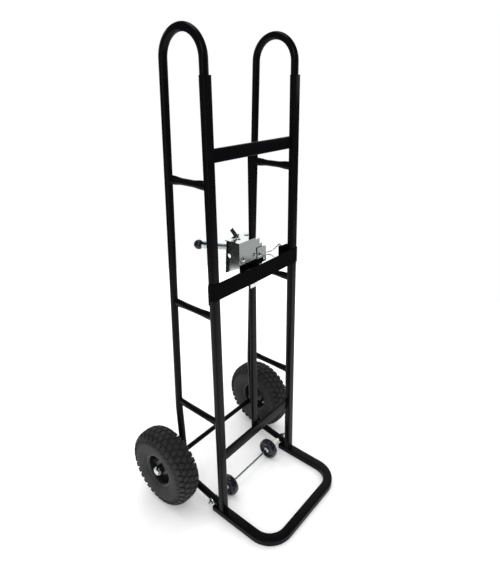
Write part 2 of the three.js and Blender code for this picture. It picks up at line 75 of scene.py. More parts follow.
def finish_named(name, **constants):
    """A new material: its tree, its shader with the given constant sockets, and its Object coordinates."""
    material = bpy.data.materials.new(name)
    material.use_nodes = True
    tree = material.node_tree
    shader = tree.nodes["Principled BSDF"]
    wire(tree, shader, {k.replace("_", " "): v for k, v in constants.items()})
    return material, tree, shader, wire(tree, "TexCoord").outputs["Object"]


# Powder coat baked on steel: a deep black with a soft gloss, a faint orange
# peel 2 mm across, broad patches where the gloss is a little duller, and a few
# grey rub marks.
black_coat, tree, shader, place = finish_named("gloss_black_powder_coat", IOR=1.5, Specular_IOR_Level=0.075)
patches = wire(tree, "TexNoise", {"Vector": place, "Scale": 14.0, "Detail": 3.0})
peel = wire(tree, "TexNoise", {"Vector": place, "Scale": 520.0, "Detail": 1.0})
rubs = wire(tree, "TexNoise", {"Vector": place, "Scale": 95.0, "Detail": 6.0, "Roughness": 0.7})
rub_mask = wire(tree, "MapRange", {"Value": rubs.outputs["Fac"], "From Min": 0.66, "From Max": 0.74})
gloss = wire(tree, "MapRange", {"Value": patches.outputs["Fac"], "From Min": 0.3, "From Max": 0.7,
                                "To Min": 0.2, "To Max": 0.3})
duller = wire(tree, "Math", {0: rub_mask.outputs[0], 1: 0.18, 2: gloss.outputs[0]}, operation="MULTIPLY_ADD")
tint = wire(tree, "Mix", {0: rub_mask.outputs[0], 6: linear("#09090b"), 7: linear("#18181a")},
            data_type="RGBA")
bump = wire(tree, "Bump", {"Height": peel.outputs["Fac"], "Strength": 0.12, "Distance": 0.0002})
wire(tree, shader, {"Base Color": tint.outputs[2], "Roughness": duller.outputs[0], "Normal": bump.outputs[0]})


def rounded(corners, radii, steps=6, closed=True):
    """Points of a line whose corners are arcs. The arc's centre lies on the corner's bisector at radius /
    sin(half angle), and its points turn evenly from one tangent point to the other: (start sin((1-t)f) + end
    sin(t f)) / sin f."""
    p = np.asarray(corners, float)
    r = np.broadcast_to(np.asarray(radii, float), len(p))[:, None]
    back = np.roll(p, 1, 0) - p
    on = np.roll(p, -1, 0) - p
    back /= np.linalg.norm(back, axis=1)[:, None]
    on /= np.linalg.norm(on, axis=1)[:, None]
    half = np.arccos(np.clip((back * on).sum(1), -1, 1))[:, None] / 2
    bisector = back + on
    bisector /= np.maximum(np.linalg.norm(bisector, axis=1)[:, None], 1e-9)
    middle = p + bisector * r / np.sin(half)
    start = p + back * r / np.tan(half) - middle
    end = p + on * r / np.tan(half) - middle
    turn = (np.pi - 2 * half)[:, :, None]
    t = np.linspace(0, 1, steps + 1)[None, :, None]
    arc = (start[:, None] * np.sin((1 - t) * turn) + end[:, None] * np.sin(t * turn)) / np.sin(turn)
    arcs = middle[:, None] + arc
    if closed:
        return arcs.reshape(-1, p.shape[1])
    return np.concatenate([p[:1], arcs[1:-1].reshape(-1, p.shape[1]), p[-1:]])


def spread(line, step):
    """A line's points set out again by length, no further apart than step, with its own points kept."""
    gaps = np.linalg.norm(np.diff(line, axis=0), axis=1)
    at = np.concatenate([[0], np.cumsum(gaps)])
    extra = np.arange(step, at[-1], step)
    extra = extra[np.abs(extra[:, None] - at[None]).min(1) > step * 0.3]
    t = np.sort(np.concatenate([at, extra]))
    return np.stack([np.interp(t, at, line[:, i]) for i in range(line.shape[1])], 1)


def swept(path, section, across, loop=False):
    """Grid of a section carried along a path: path point + across * first measure + (way forward x across) *
    second. The way forward at a point is the mean of the directions before and after it."""
    steps = np.roll(path, -1, 0) - path
    steps /= np.maximum(np.linalg.norm(steps, axis=1)[:, None], 1e-12)
    ahead = steps + np.roll(steps, 1, 0)
    if not loop:
        ahead[0], ahead[-1] = steps[0], steps[-2]
    ahead /= np.linalg.norm(ahead, axis=1)[:, None]
    across = np.broadcast_to(np.asarray(across, float), path.shape)
    up = np.cross(ahead, across)
    up /= np.linalg.norm(up, axis=1)[:, None]
    return path[:, None] + section[..., 0, None] * across[:, None] + section[..., 1, None] * up[:, None]


def skin(grid, ends="cap"):
    """Points and four-sided faces of a grid whose rows close on themselves. Its two ends are capped flat,
    joined to each other, or left open."""
    rows, cols = grid.shape[:2]
    i, j = np.meshgrid(np.arange(rows - (ends != "join")), np.arange(cols), indexing="ij")
    near, far = i * cols, (i + 1) % rows * cols
    turn = (j + 1) % cols
    faces = np.stack([near + j, near + turn, far + turn, far + j], -1).reshape(-1, 4).tolist()
    if ends == "cap":
        faces += [list(range(cols)), list(range((rows - 1) * cols, rows * cols))]
    return grid.reshape(-1, 3), faces


def hollow(outer, inner):
    """A tube with a wall: the outside from end to end and back along the inside, as one closed skin."""
    return skin(np.concatenate([outer, inner[::-1]]), "join")


def circle(radius, count):
    """Points (radius cos a, radius sin a)."""
    a = np.arange(count) * 2 * np.pi / count
    return np.stack([radius * np.cos(a), radius * np.sin(a)], 1)


def piece(name, skins, material, body, stands_for=(), crease=32, offset=(0, RAILS_Y, 0)):
    """One finished piece from skins in millimetres: merged, turned to face outwards, shaded, and riding on
    its body."""
    points, faces, count = [], [], 0
    for p, f in skins:
        points.append(p)
        faces += [[v + count for v in face] for face in f]
        count += len(p)
    mesh = bpy.data.meshes.new(name)
    mesh.from_pydata(((np.concatenate(points) + offset) / 1000).tolist(), [], faces)
    bm = bmesh.new()
    bm.from_mesh(mesh)
    bmesh.ops.remove_doubles(bm, verts=bm.verts, dist=2e-6)
    bmesh.ops.dissolve_degenerate(bm, edges=bm.edges, dist=1e-7)
    bmesh.ops.recalc_face_normals(bm, faces=bm.faces)
    if bm.calc_volume(signed=True) < 0:
        bmesh.ops.reverse_faces(bm, faces=bm.faces)
    bm.to_mesh(mesh)
    bm.free()
    mesh.shade_smooth()
    mesh.set_sharp_from_angle(angle=math.radians(crease))
    mesh.materials.append(material)
    made = bpy.data.objects.new(name, mesh)
    bpy.context.scene.collection.objects.link(made)
    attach(made, body)
    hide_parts(*stands_for)
    return made


handle_turn = np.linspace(np.pi, 0, 33)
loop_line = np.concatenate(
    [
        [[0, 1297]],
        np.stack([HANDLE_R + HANDLE_R * np.cos(handle_turn), HANDLE_Z + HANDLE_R * np.sin(handle_turn)], 1),
        rounded([[2 * HANDLE_R, HANDLE_Z], [181.5, 330], [171.2, 56.5], [15.0, 32.16]], [0, 260, 65, 0], 14,
                closed=False)[1:],
    ]
)
loop_line = spread(loop_line, 40)
sides = {"left": -SIDE_X, "right": SIDE_X}
outward = {"left": -1, "right": 1}
for side, x in sides.items():
    path = np.concatenate([np.full((len(loop_line), 1), x), loop_line], 1)
    outer = swept(path, circle(TUBE_R, 40), (1, 0, 0))
    inner = swept(path, circle(TUBE_R - TUBE_WALL, 40), (1, 0, 0))
    piece(f"loop_tube_{side}", [hollow(outer, inner)], black_coat, "frame",
          [f"side_loop_{side}"])

# ---------------------------------------------------------------------------
# Front rails: heavier tube, round at the back and pressed flat in front where
# the load leans. Its cut top grips the loop tube, so a thin rim shows there.
# ---------------------------------------------------------------------------
RAIL_BACK = 12.9
RAIL_FLAT = 12.4
RAIL_TOP = 1335.0
RAIL_FOOT = 20.3


def rail_section(grow):
    """Half a circle behind and a flat front with 4 mm corners, moved outwards by grow."""
    a = np.linspace(0, np.pi, 25)
    back = np.stack([np.cos(a), np.sin(a)], 1) * (RAIL_BACK + grow)
    t = np.linspace(0, np.pi / 2, 7)
    corner = np.stack([np.cos(t), -np.sin(t)], 1) * (4.0 + grow) + [RAIL_BACK - 4.0, -RAIL_FLAT + 4.0]
    return np.concatenate([back, corner * [-1, 1], corner[::-1]])


for side, x in sides.items():
    heights = np.concatenate([[RAIL_FOOT], np.linspace(RAIL_FOOT + 0.5, RAIL_TOP - 0.5, 40), [RAIL_TOP]])
    outer_rows = [rail_section(-0.4 if z in (RAIL_FOOT, RAIL_TOP) else 0.0) for z in heights]
    path = np.stack([np.full(len(heights), x), np.zeros(len(heights)), heights], 1)
    outer = swept(path, np.array(outer_rows), (1, 0, 0))
    bore = circle(TUBE_R + 0.25, outer.shape[1])
    inner = swept(path, bore, (1, 0, 0))
    piece(f"rail_{side}", [hollow(outer, inner)], black_coat, "frame", [f"front_rail_{side}"])

# ---------------------------------------------------------------------------
# Side rungs: round tube whose two ends are pressed tall and narrow, cut to sit
# round the rail in front and the loop tube behind, and welded all round.
# ---------------------------------------------------------------------------
RUNG_HEIGHTS = {"upper": 1077.0, "middle": 713.0, "lower": 356.0}
RUNG_MIDDLE_R = 9.4
RUNG_END_X = 7.0
RUNG_END_Z = 12.5


def rear_line(z):
    """How far back the loop tube's centre runs at a height."""
    down = loop_line[(loop_line[:, 0] > 100) & (loop_line[:, 1] < HANDLE_Z)]
    return np.interp(z, down[::-1, 1], down[::-1, 0])


def rung_skin(z, wall, clear=0.45):
    """Grid of a rung: across, an ellipse that changes from round to tall towards both ends; along, each line
    of it runs between where it meets the rail's back, sqrt(R^2 - x^2), and where it meets the loop tube."""
    u = np.linspace(0, 1, 31)[:, None]
    a = np.linspace(0, 2 * np.pi, 40, endpoint=False)[None, :]
    s = np.clip((np.abs(u - 0.5) * 2 - 0.3) / 0.56, 0, 1)
    press = s * s * (3 - 2 * s)
    x = (RUNG_MIDDLE_R + (RUNG_END_X - RUNG_MIDDLE_R) * press - wall) * np.cos(a)
    high = (RUNG_MIDDLE_R + (RUNG_END_Z - RUNG_MIDDLE_R) * press - wall) * np.sin(a)
    front = np.sqrt((RAIL_BACK + clear) ** 2 - x**2)
    rear = rear_line(z + high) - np.sqrt((TUBE_R + clear) ** 2 - x**2)
    y = front + (rear - front) * u
    return np.stack([x, y, z + high], -1)


def bead(loop, outward, width, ripples):
    """A weld bead round a closed line: a small round section whose size swells and falls once per ripple."""
    n = len(loop)
    t = np.arange(n) / n
    swell = width * (0.86 + 0.14 * np.abs(np.sin(np.pi * ripples * t)))
    section = circle(1.0, 10)[None] * swell[:, None, None]
    return skin(swept(loop, section, outward, loop=True), "join")


def smooth_loop(points, count):
    """The same closed line with evenly spaced points."""
    closed = np.concatenate([points, points[:1]])
    at = np.concatenate([[0], np.cumsum(np.linalg.norm(np.diff(closed, axis=0), axis=1))])
    t = np.linspace(0, at[-1], count, endpoint=False)
    return np.stack([np.interp(t, at, closed[:, i]) for i in range(3)], 1)


for side, x in sides.items():
    for which, z in RUNG_HEIGHTS.items():
        outer = rung_skin(z, 0.0) + [x, 0, 0]
        inner = rung_skin(z, 1.6) + [x, 0, 0]
        name = f"rung_{side}_{which}"
        piece(f"side_{name}", [hollow(outer, inner)], black_coat, "frame", [name])
        beads = []
        for end in (0, -1):
            ring = smooth_loop(outer[end], 132)
            away = ring - ring.mean(0)
            away[:, 1] = 0
            away /= np.linalg.norm(away, axis=1)[:, None]
            beads.append(bead(ring + away * 0.3, away, 1.7, 22))
        piece(f"welds_{name}", beads, black_coat, "frame")

# ---------------------------------------------------------------------------
# Cross bars: flat 35 x 10 mm rectangular tube between the rails, its ends cut
# to the rails' round backs and welded down both edges.
# ---------------------------------------------------------------------------
BAR_HEIGHTS = {"upper": 1149.0, "lower": 221.0}
BAR_TALL = 35.0
BAR_FRONT, BAR_BACK = -2.0, 8.0
RAIL_FLANK = 13.35  # mm from a rail's middle line to where a bar meets it


def bar_end(y):
    """How far along the bar reaches at a depth y: the rail's flank in front, its round back behind."""
    round_back = np.sqrt(np.maximum(RAIL_FLANK**2 - np.maximum(y, 0) ** 2, 0))
    return SIDE_X - np.where(y > 0, round_back, RAIL_FLANK)


def bar_skin(z, inset):
    """Grid of a bar: a rounded rectangle in y and z, carried along x between its two shaped ends."""
    corners = [[BAR_FRONT + inset, -BAR_TALL / 2 + inset], [BAR_BACK - inset, -BAR_TALL / 2 + inset],
               [BAR_BACK - inset, BAR_TALL / 2 - inset], [BAR_FRONT + inset, BAR_TALL / 2 - inset]]
    section = rounded(corners, 2.6 - inset * 0.8, 6)
    section = np.concatenate([section, ((section + np.roll(section, -1, 0)) / 2)[6::7]])
    order = np.argsort(np.arctan2(section[:, 1] / BAR_TALL, (section[:, 0] - 3) / 10))
    section = section[order]
    u = np.linspace(-1, 1, 25)[:, None]
    x = u * bar_end(section[:, 0])[None]
    return np.stack([x, np.broadcast_to(section[:, 0], x.shape),
                     np.broadcast_to(section[:, 1] + z, x.shape)], -1)


for which, z in BAR_HEIGHTS.items():
    name = f"cross_bar_{which}"
    outer = bar_skin(z, 0.0)
    piece(f"flat_{name}", [hollow(outer, bar_skin(z, 1.5))], black_coat, "frame", [name])
    beads = []
    for end in (0, -1):
        ring = smooth_loop(outer[end], 200)
        away = ring - ring.mean(0)
        away[:, 0] = 0
        away /= np.linalg.norm(away, axis=1)[:, None]
        beads.append(bead(ring, away, 1.6, 30))
    piece(f"welds_{name}", beads, black_coat, "frame")

# ---------------------------------------------------------------------------
# Centre upright: 22 x 10 mm rectangular tube behind both cross bars. It carries
# the ratchet and is welded to each bar with a short bead down both its edges.
# ---------------------------------------------------------------------------
UPRIGHT_BACK = 18.3
UPRIGHT_FRONT = 8.3
UPRIGHT_HALF = 11.0
UPRIGHT_LOW, UPRIGHT_TOP = 207.0, 1163.0
WELD_RUNS = ((213, 236), (1134, 1157))  # lower and upper end of each short bead


def upright_skin(inset, heights):
    """Grid of a rounded rectangle in x and y at each height."""
    corners = [[-UPRIGHT_HALF + inset, UPRIGHT_FRONT + inset], [UPRIGHT_HALF - inset, UPRIGHT_FRONT + inset],
               [UPRIGHT_HALF - inset, UPRIGHT_BACK - inset], [-UPRIGHT_HALF + inset, UPRIGHT_BACK - inset]]
    section = rounded(corners, 2.4 - inset * 0.8, 6)
    flat = np.concatenate([section, np.zeros((len(section), 1))], 1)
    return flat[None] + np.array([0, 0, 1])[None, None] * np.asarray(heights)[:, None, None]


uprights = np.linspace(UPRIGHT_LOW, UPRIGHT_TOP, 25)
upright_tube = hollow(upright_skin(0, uprights), upright_skin(1.5, uprights))
piece("upright", [upright_tube], black_coat, "frame", ["centre_upright"])
beads = []
for z0, z1 in WELD_RUNS:
    for x in (-UPRIGHT_HALF - 0.2, UPRIGHT_HALF + 0.2):
        t = np.linspace(0, 1, 49)
        run = np.stack([np.full(49, x), np.full(49, UPRIGHT_FRONT + 0.6), z0 + (z1 - z0) * t], 1)
        swell = 1.8 * (0.84 + 0.16 * np.abs(np.sin(np.pi * 8 * t))) * np.sqrt(np.clip(1.02
            - (2 * t - 1) ** 6, 0, 1))
        beads.append(skin(swept(run, circle(1.0, 10)[None] * swell[:, None, None], (1, 0, 0))))
piece("welds_upright", beads, black_coat, "frame")

# ---------------------------------------------------------------------------
# Toe loop: 30 x 20 mm rectangular tube bent to a U that lies on the floor and
# goes under the load. The rails stand on it and are welded round their feet.
# ---------------------------------------------------------------------------
TOE_TALL = 20.0
TOE_WIDE = 30.0
TOE_FRONT = -205.5
TOE_REAR = 33.0


def toe_section(inset):
    """A rounded rectangle, across and up."""
    w, h = TOE_WIDE / 2 - inset, TOE_TALL / 2 - inset
    return rounded([[-w, -h], [w, -h], [w, h], [-w, h]], 2.6 - inset * 0.7, 6)


toe_line = rounded([[-SIDE_X, TOE_REAR], [-SIDE_X, TOE_FRONT], [SIDE_X, TOE_FRONT], [SIDE_X, TOE_REAR]],
                   [0, 70, 70, 0], 24, closed=False)
toe_line = spread(toe_line, 25)
toe_path = np.concatenate([toe_line, np.full((len(toe_line), 1), TOE_TALL / 2)], 1)
toe_outer = swept(toe_path, toe_section(0)[:, ::-1], (0, 0, 1))
toe_inner = swept(toe_path, toe_section(2)[:, ::-1], (0, 0, 1))
piece("toe_bow", [hollow(toe_outer, toe_inner)], black_coat, "frame", ["toe_loop"])
beads = []
for x in sides.values():
    ring = smooth_loop(np.concatenate([rail_section(0.2), np.full((39, 1), 20.6)], 1) + [x, 0, 0], 168)
    away = ring - ring.mean(0)
    away /= np.linalg.norm(away, axis=1)[:, None]
    beads.append(bead(ring, away, 1.7, 28))
piece("welds_rail_feet", beads, black_coat, "frame")

# ---------------------------------------------------------------------------
# Main axle: 16 mm solid bar welded behind the two loop tubes, black between
# the wheels. A collar welded each side keeps the wheel clear of the frame, and
# a zinc washer and nut hold it on.
# ---------------------------------------------------------------------------
AXLE_R = 8.0
AXLE_AT = np.array([0, 193.4, 130.0])
AXLE_HALF = 283.4
AXLE_BLACK = 194.0  # half the length that is painted with the frame

# Bright zinc plate, clear passivated: cool bluish silver that drifts to a
# faint straw yellow in broad patches, with fine draw lines and a satin haze.
zinc, tree, shader, place = finish_named("bright_zinc_plate", Metallic=1.0)
drift = wire(tree, "TexNoise", {"Vector": place, "Scale": 60.0, "Detail": 2.0})
tint = wire(tree, "Mix", {0: drift.outputs["Fac"], 6: linear("#cfdce2"), 7: linear("#d9d7cc")},
            data_type="RGBA")
haze = wire(tree, "TexNoise", {"Vector": place, "Scale": 330.0, "Detail": 5.0, "Roughness": 0.65})
satin = wire(tree, "MapRange", {"Value": haze.outputs["Fac"], "From Min": 0.3, "From Max": 0.7,
                                "To Min": 0.05, "To Max": 0.12})
grain = wire(tree, "TexNoise", {"Vector": place, "Scale": 1400.0, "Detail": 2.0})
bump = wire(tree, "Bump", {"Height": grain.outputs["Fac"], "Strength": 0.06, "Distance": 0.0001})
wire(tree, shader, {"Base Color": tint.outputs[2], "Roughness": satin.outputs[0], "Normal": bump.outputs[0]})


def turned(profile, facets=96):
    """Grid of a profile of (along, radius) carried round the X axis: (along, radius cos a, radius sin a)."""
    a = np.arange(facets) * 2 * np.pi / facets
    p = np.asarray(profile, float)
    return np.stack([np.broadcast_to(p[:, :1], (len(p), facets)), p[:, 1:] * np.cos(a),
                     p[:, 1:] * np.sin(a)], -1)


def hexagon(flats, x0, x1, bore, facets=48):
    """Grid of a nut on the X axis: its radius is half the flats / cos of the angle from the nearest flat's
    middle, and both ends slope back by 30 degrees from a circle as wide as the flats."""
    a = np.arange(facets) * 2 * np.pi / facets
    flat = flats / 2
    edge = flat / np.cos((a + np.pi / 6) % (np.pi / 3) - np.pi / 6)
    slope = (edge - flat * 0.96) * math.tan(math.radians(30))
    radius = np.stack([0 * a + bore, 0 * a + flat * 0.96, edge, edge, 0 * a + flat * 0.96, 0 * a + bore])
    along = np.stack([0 * a + x0, 0 * a + x0, x0 + slope, x1 - slope, 0 * a + x1, 0 * a + x1])
    return np.stack([along, radius * np.cos(a), radius * np.sin(a)], -1)


def bar_profile(x0, x1, radius, chamfer):
    """A solid bar's profile from its middle at one end to its middle at the other."""
    return [[x0, 0], [x0, radius - chamfer], [x0 + chamfer, radius], [x1 - chamfer, radius],
            [x1, radius - chamfer], [x1, 0]]


def washer_profile(x0, x1, bore, radius, edge=0.35):
    """A ring's closed profile with broken outer edges."""
    return [[x0, bore], [x0, radius - edge], [x0 + edge, radius], [x1 - edge, radius], [x1, radius - edge],
            [x1, bore]]


middle = turned(bar_profile(-AXLE_BLACK, AXLE_BLACK, AXLE_R, 0.2), 48) + AXLE_AT
piece("axle_bar", [skin(middle, "open")], black_coat, "frame", ["main_axle"])
stubs = []
for out in (-1, 1):
    end = [[AXLE_BLACK, 0], [AXLE_BLACK, AXLE_R], [AXLE_HALF - 1, AXLE_R], [AXLE_HALF, 6.6], [AXLE_HALF, 0]]
    stubs.append(skin(turned(np.array(end) * [out, 1], 48) + AXLE_AT, "open"))
piece("axle_ends", stubs, zinc, "frame")
for side, out in outward.items():
    collar = turned(washer_profile(189.5, 194.5, AXLE_R, 12.5, 0.8), 64) * [out, 1, 1] + AXLE_AT
    piece(f"collar_{side}", [skin(collar, "join")], black_coat, "frame",
          [f"axle_collar_{side}"])
    washer = turned(washer_profile(275.8, 277.8, AXLE_R + 0.3, 14, 0.3), 64) * [out, 1, 1] + AXLE_AT
    piece(f"washer_{side}", [skin(washer, "join")], zinc, "frame", [f"axle_washer_{side}"])
    nut = hexagon(22.5, 278.2, 282.8, AXLE_R) * [out, 1, 1] + AXLE_AT
    piece(f"nut_{side}", [skin(nut, "join")], zinc, "frame", [f"axle_nut_{side}"], crease=25)
beads = []
for x in sides.values():
    t = np.arange(96) * 2 * np.pi / 96
    ring = np.stack([x + 9.5 * np.cos(t), AXLE_AT[1] - 7.4 + 0 * t, AXLE_AT[2] + 6.5 * np.sin(t)], 1)
    beads.append(bead(ring, np.stack([np.cos(t), 0 * t, np.sin(t)], 1), 1.9, 16))
piece("welds_axle", beads, black_coat, "frame")

# ---------------------------------------------------------------------------
# Main tyres: 260 mm pneumatic, moulded black rubber with staggered knobs over
# the crown, lugs on both shoulders and a row of small studs below them.
# ---------------------------------------------------------------------------
WHEEL_X = 242.0
TREAD_PITCHES = 36
TREAD_DEPTH = 6.2

# Tyre rubber: a charcoal black, quite matte, with a fine moulded grain and a
# grey bloom of dust that lies in broad patches.
rubber, tree, shader, place = finish_named("moulded_tyre_rubber", IOR=1.52)
bloom = wire(tree, "TexNoise", {"Vector": place, "Scale": 22.0, "Detail": 5.0, "Roughness": 0.6})
dusty = wire(tree, "MapRange", {"Value": bloom.outputs["Fac"], "From Min": 0.35, "From Max": 0.75})
tint = wire(tree, "Mix", {0: dusty.outputs[0], 6: linear("#161618"), 7: linear("#242427")}, data_type="RGBA")
grain = wire(tree, "TexNoise", {"Vector": place, "Scale": 900.0, "Detail": 3.0})
matte = wire(tree, "MapRange", {"Value": grain.outputs["Fac"], "To Min": 0.62, "To Max": 0.82})
bump = wire(tree, "Bump", {"Height": grain.outputs["Fac"], "Strength": 0.25, "Distance": 0.0002})
wire(tree, shader, {"Base Color": tint.outputs[2], "Roughness": matte.outputs[0], "Normal": bump.outputs[0]})


def evenly(line, count):
    """count points along a line, the same distance apart."""
    at = np.concatenate([[0], np.cumsum(np.linalg.norm(np.diff(line, axis=0), axis=1))])
    t = np.linspace(0, at[-1], count)
    return np.stack([np.interp(t, at, line[:, i]) for i in range(line.shape[1])], 1), t - at[-1] / 2


def tyre_grid():
    """Grid of a tyre about its own middle. The outside is a half ellipse from bead to widest point, then a
    fuller curve over the crown; every point off a knob is sunk along the surface's own outward direction by
    the tread depth."""
    t = np.linspace(0, np.pi / 2, 60)
    wall = np.stack([25.2 + 16.8 * np.sin(t), 97 - 45.4 * np.cos(t)], 1)
    crown = np.stack([42 * np.cos(t) ** 0.77, 97 + 33 * np.sin(t) ** 0.77], 1)
    half = np.concatenate([wall, crown[1:]])
    outside, s = evenly(np.concatenate([half, half[::-1][1:] * [-1, 1]]), 125)
    along = np.gradient(outside, axis=0)
    normal = np.stack([-along[:, 1], along[:, 0]], 1)
    normal /= -np.linalg.norm(normal, axis=1)[:, None]
    turn = np.arange(TREAD_PITCHES * 16) / 16
    s, pitch = s[:, None], turn[None]
    knobs = np.zeros((len(outside), len(turn)))
    rows = ((0, 8, 0.37, 0.0, 1.7, 1.0), (19, 8.5, 0.36, 0.5, 1.9, 1.0), (38.5, 9, 0.34, 0.0, 4.5, 1.0),
            (57, 5, 0.24, 0.5, 2.6, 0.5))
    for away, wide, long, shift, power, high in rows:
        for way in (-1, 1):
            off = (pitch + shift + 0.5) % 1 - 0.5
            shape = (np.abs(s - way * away) / wide) ** power + np.abs(off / long) ** power
            step = np.clip((1.22 - shape) / 0.36, 0, 1)
            knobs = np.maximum(knobs, high * step * step * (3 - 2 * step))
    zone = np.clip((64 - np.abs(s)) / 14, 0, 1)
    sunk = TREAD_DEPTH * zone * zone * (3 - 2 * zone) * (1 - knobs)
    ribs = sum(0.7 * np.exp(-(((outside[:, 1] - r) / 0.9) ** 2)) for r in (60.0, 66.0, 84.0))[:, None]
    deep = (ribs - sunk)[..., None] * normal[:, None]
    grid = np.broadcast_to(outside[:, None], deep.shape) + deep
    back = evenly(np.array([[-25.2, 51.6], [-17, 52.5], [-33, 94], [-20, 112], [0, 118], [20, 112],
                            [33, 94], [17, 52.5], [25.2, 51.6]]), 24)[0][1:-1]
    inside = np.broadcast_to(back[:, None], (len(back), len(turn), 2))
    rings = np.concatenate([grid, inside])
    a = 2 * np.pi * turn / TREAD_PITCHES
    return np.stack([rings[..., 0], rings[..., 1] * np.cos(a), rings[..., 1] * np.sin(a)], -1)


def fitted(grid, side):
    """A wheel's grid, whose outer face looks towards -X, put on its axle; the right wheel is its mirror
    image."""
    out = outward[side]
    return grid * [-out, 1, 1] + [out * WHEEL_X, *AXLE_AT[1:]]


tyre = tyre_grid()
for side in sides:
    piece(f"knobby_tyre_{side}", [skin(fitted(tyre, side), "join")], rubber, f"wheel_{side}",
          [f"tyre_{side}"], crease=55)

# ---------------------------------------------------------------------------
# Rims: two pressed steel halves bolted back to back with four bolts, satin
# black inside and out. Each steps down from a rolled flange to a deep disc,
# and a rubber valve stem with its cap stands in the outer one.
# ---------------------------------------------------------------------------
# Satin black paint on pressed steel: thinner and duller than the frame's coat,
# slightly mottled, with a light grey haze.
rim_paint, tree, shader, place = finish_named("satin_black_rim_paint", IOR=1.5)
mottle = wire(tree, "TexNoise", {"Vector": place, "Scale": 70.0, "Detail": 4.0})
tint = wire(tree, "Mix", {0: mottle.outputs["Fac"], 6: linear("#0d0d0f"), 7: linear("#1c1c1f")},
            data_type="RGBA")
dull = wire(tree, "MapRange", {"Value": mottle.outputs["Fac"], "From Min": 0.3, "From Max": 0.7,
                               "To Min": 0.34, "To Max": 0.46})
peel = wire(tree, "TexNoise", {"Vector": place, "Scale": 650.0, "Detail": 2.0})
bump = wire(tree, "Bump", {"Height": peel.outputs["Fac"], "Strength": 0.15, "Distance": 0.0002})
wire(tree, shader, {"Base Color": tint.outputs[2], "Roughness": dull.outputs[0], "Normal": bump.outputs[0]})

rim_seen = [[-15.2, 14.9], [-15.2, 26], [-2.4, 37], [-2.4, 45.5], [-8, 48.6], [-27.6, 48.6], [-32.4, 53.5],
            [-32.8, 57.2]]
rim_back = [[-30.4, 57.6], [-29.6, 54.6], [-26, 50.8], [-7.4, 50.8], [-0.15, 46.8], [-0.15, 36], [-13, 25],
            [-13, 14.9]]
rim_radii = [0.3, 4, 3, 1.5, 2, 2.5, 2.5, 1.2, 0.8, 1.5, 2, 2, 1.5, 2, 2, 0.3]
rim_line = rounded(rim_seen + rim_back, rim_radii, 5)
half_rim = turned(rim_line, 128)
quarter = [(math.cos(a), math.sin(a)) for a in (np.arange(4) + 0.5) * math.pi / 2]
for side in sides:
    body = f"wheel_{side}"
    piece(f"rim_half_outer_{side}", [skin(fitted(half_rim, side), "join")], rim_paint, body,
          [f"rim_outer_{side}"])
    inward = half_rim * [-1, 1, 1]
    piece(f"rim_half_inner_{side}", [skin(fitted(inward, side), "join")], rim_paint, body,
          [f"rim_inner_{side}"])
    bolts = []
    for cy, cz in quarter:
        at = [0, 41 * cy, 41 * cz]
        for part in (hexagon(10, -8.1, -3.4, 0), turned(washer_profile(-3.6, -2.4, 0, 6.2, 0.3), 32),
                     hexagon(10, 2.4, 7.2, 0),
                     turned(bar_profile(6.8, 10.4, 2.9, 0.5), 24)):
            bolts.append(skin(fitted(part + at, side), "open"))
    piece(f"rim_bolts_{side}", bolts, zinc, body, crease=25)
    stem = [[0, 0], [0, 3.2], [3, 3.6], [9, 3.3], [9.6, 4.1], [10.2, 4.1], [10.8, 3.9], [16.4, 3.7],
            [17.6, 3.0], [18, 1.6], [18, 0]]
    grid = turned(stem, 32)
    ribbed = 1 + 0.05 * np.sign(np.sin(np.arange(32) * np.pi)) * (grid[..., 0] > 10)
    grid = grid * np.stack([np.ones_like(ribbed), ribbed, ribbed], -1)
    upright_stem = np.stack([-11 + grid[..., 1], 53 - grid[..., 0], grid[..., 2]], -1)
    piece(f"valve_{side}", [skin(fitted(upright_stem, side), "open")], rubber, body,
          [f"valve_stem_{side}"])

# ---------------------------------------------------------------------------
# Hubs: a zinc plated tube through each rim, welded to both halves, with a
# pressed bearing cup let into each end.
# ---------------------------------------------------------------------------
hub_line = rounded([[-33.4, 8.3], [-33.4, 9.6], [-32.4, 9.8], [-32.4, 11.2], [-33.4, 11.4], [-33.4, 14.4],
                    [47, 14.4], [47, 11.4],
                    [46, 11.2], [46, 9.8], [47, 9.6], [47, 8.3]],
                    [0.1, 0.2, 0.2, 0.2, 0.2, 0.8, 0.8, 0.2, 0.2, 0.2, 0.2, 0.1], 3)
for side in sides:
    hub = turned(hub_line, 80)
    piece(f"hub_{side}", [skin(fitted(hub, side), "join")], zinc, f"wheel_{side}",
          [f"wheel_hub_{side}"])
    welds = []
    for x in (-15.4, 15.4):
        t = np.arange(120) * 2 * np.pi / 120
        ring = np.stack([0 * t + x, 15 * np.cos(t), 15 * np.sin(t)], 1)
        welds.append(bead(ring, np.stack([0 * t, np.cos(t), np.sin(t)], 1), 1.5, 22))
    welds = [(fitted(p, side), f) for p, f in welds]
    piece(f"hub_welds_{side}", welds, rim_paint, f"wheel_{side}")

# ---------------------------------------------------------------------------
# Small wheels: two solid polished plastic wheels on a thin zinc rod through
# both loop tubes, each between a washer and a white nylon spacer, with a nut
# on the rod outside each tube.
# ---------------------------------------------------------------------------
ROD_AT = np.array([0, 38.0, 36.0])
SMALL_X = 106.0

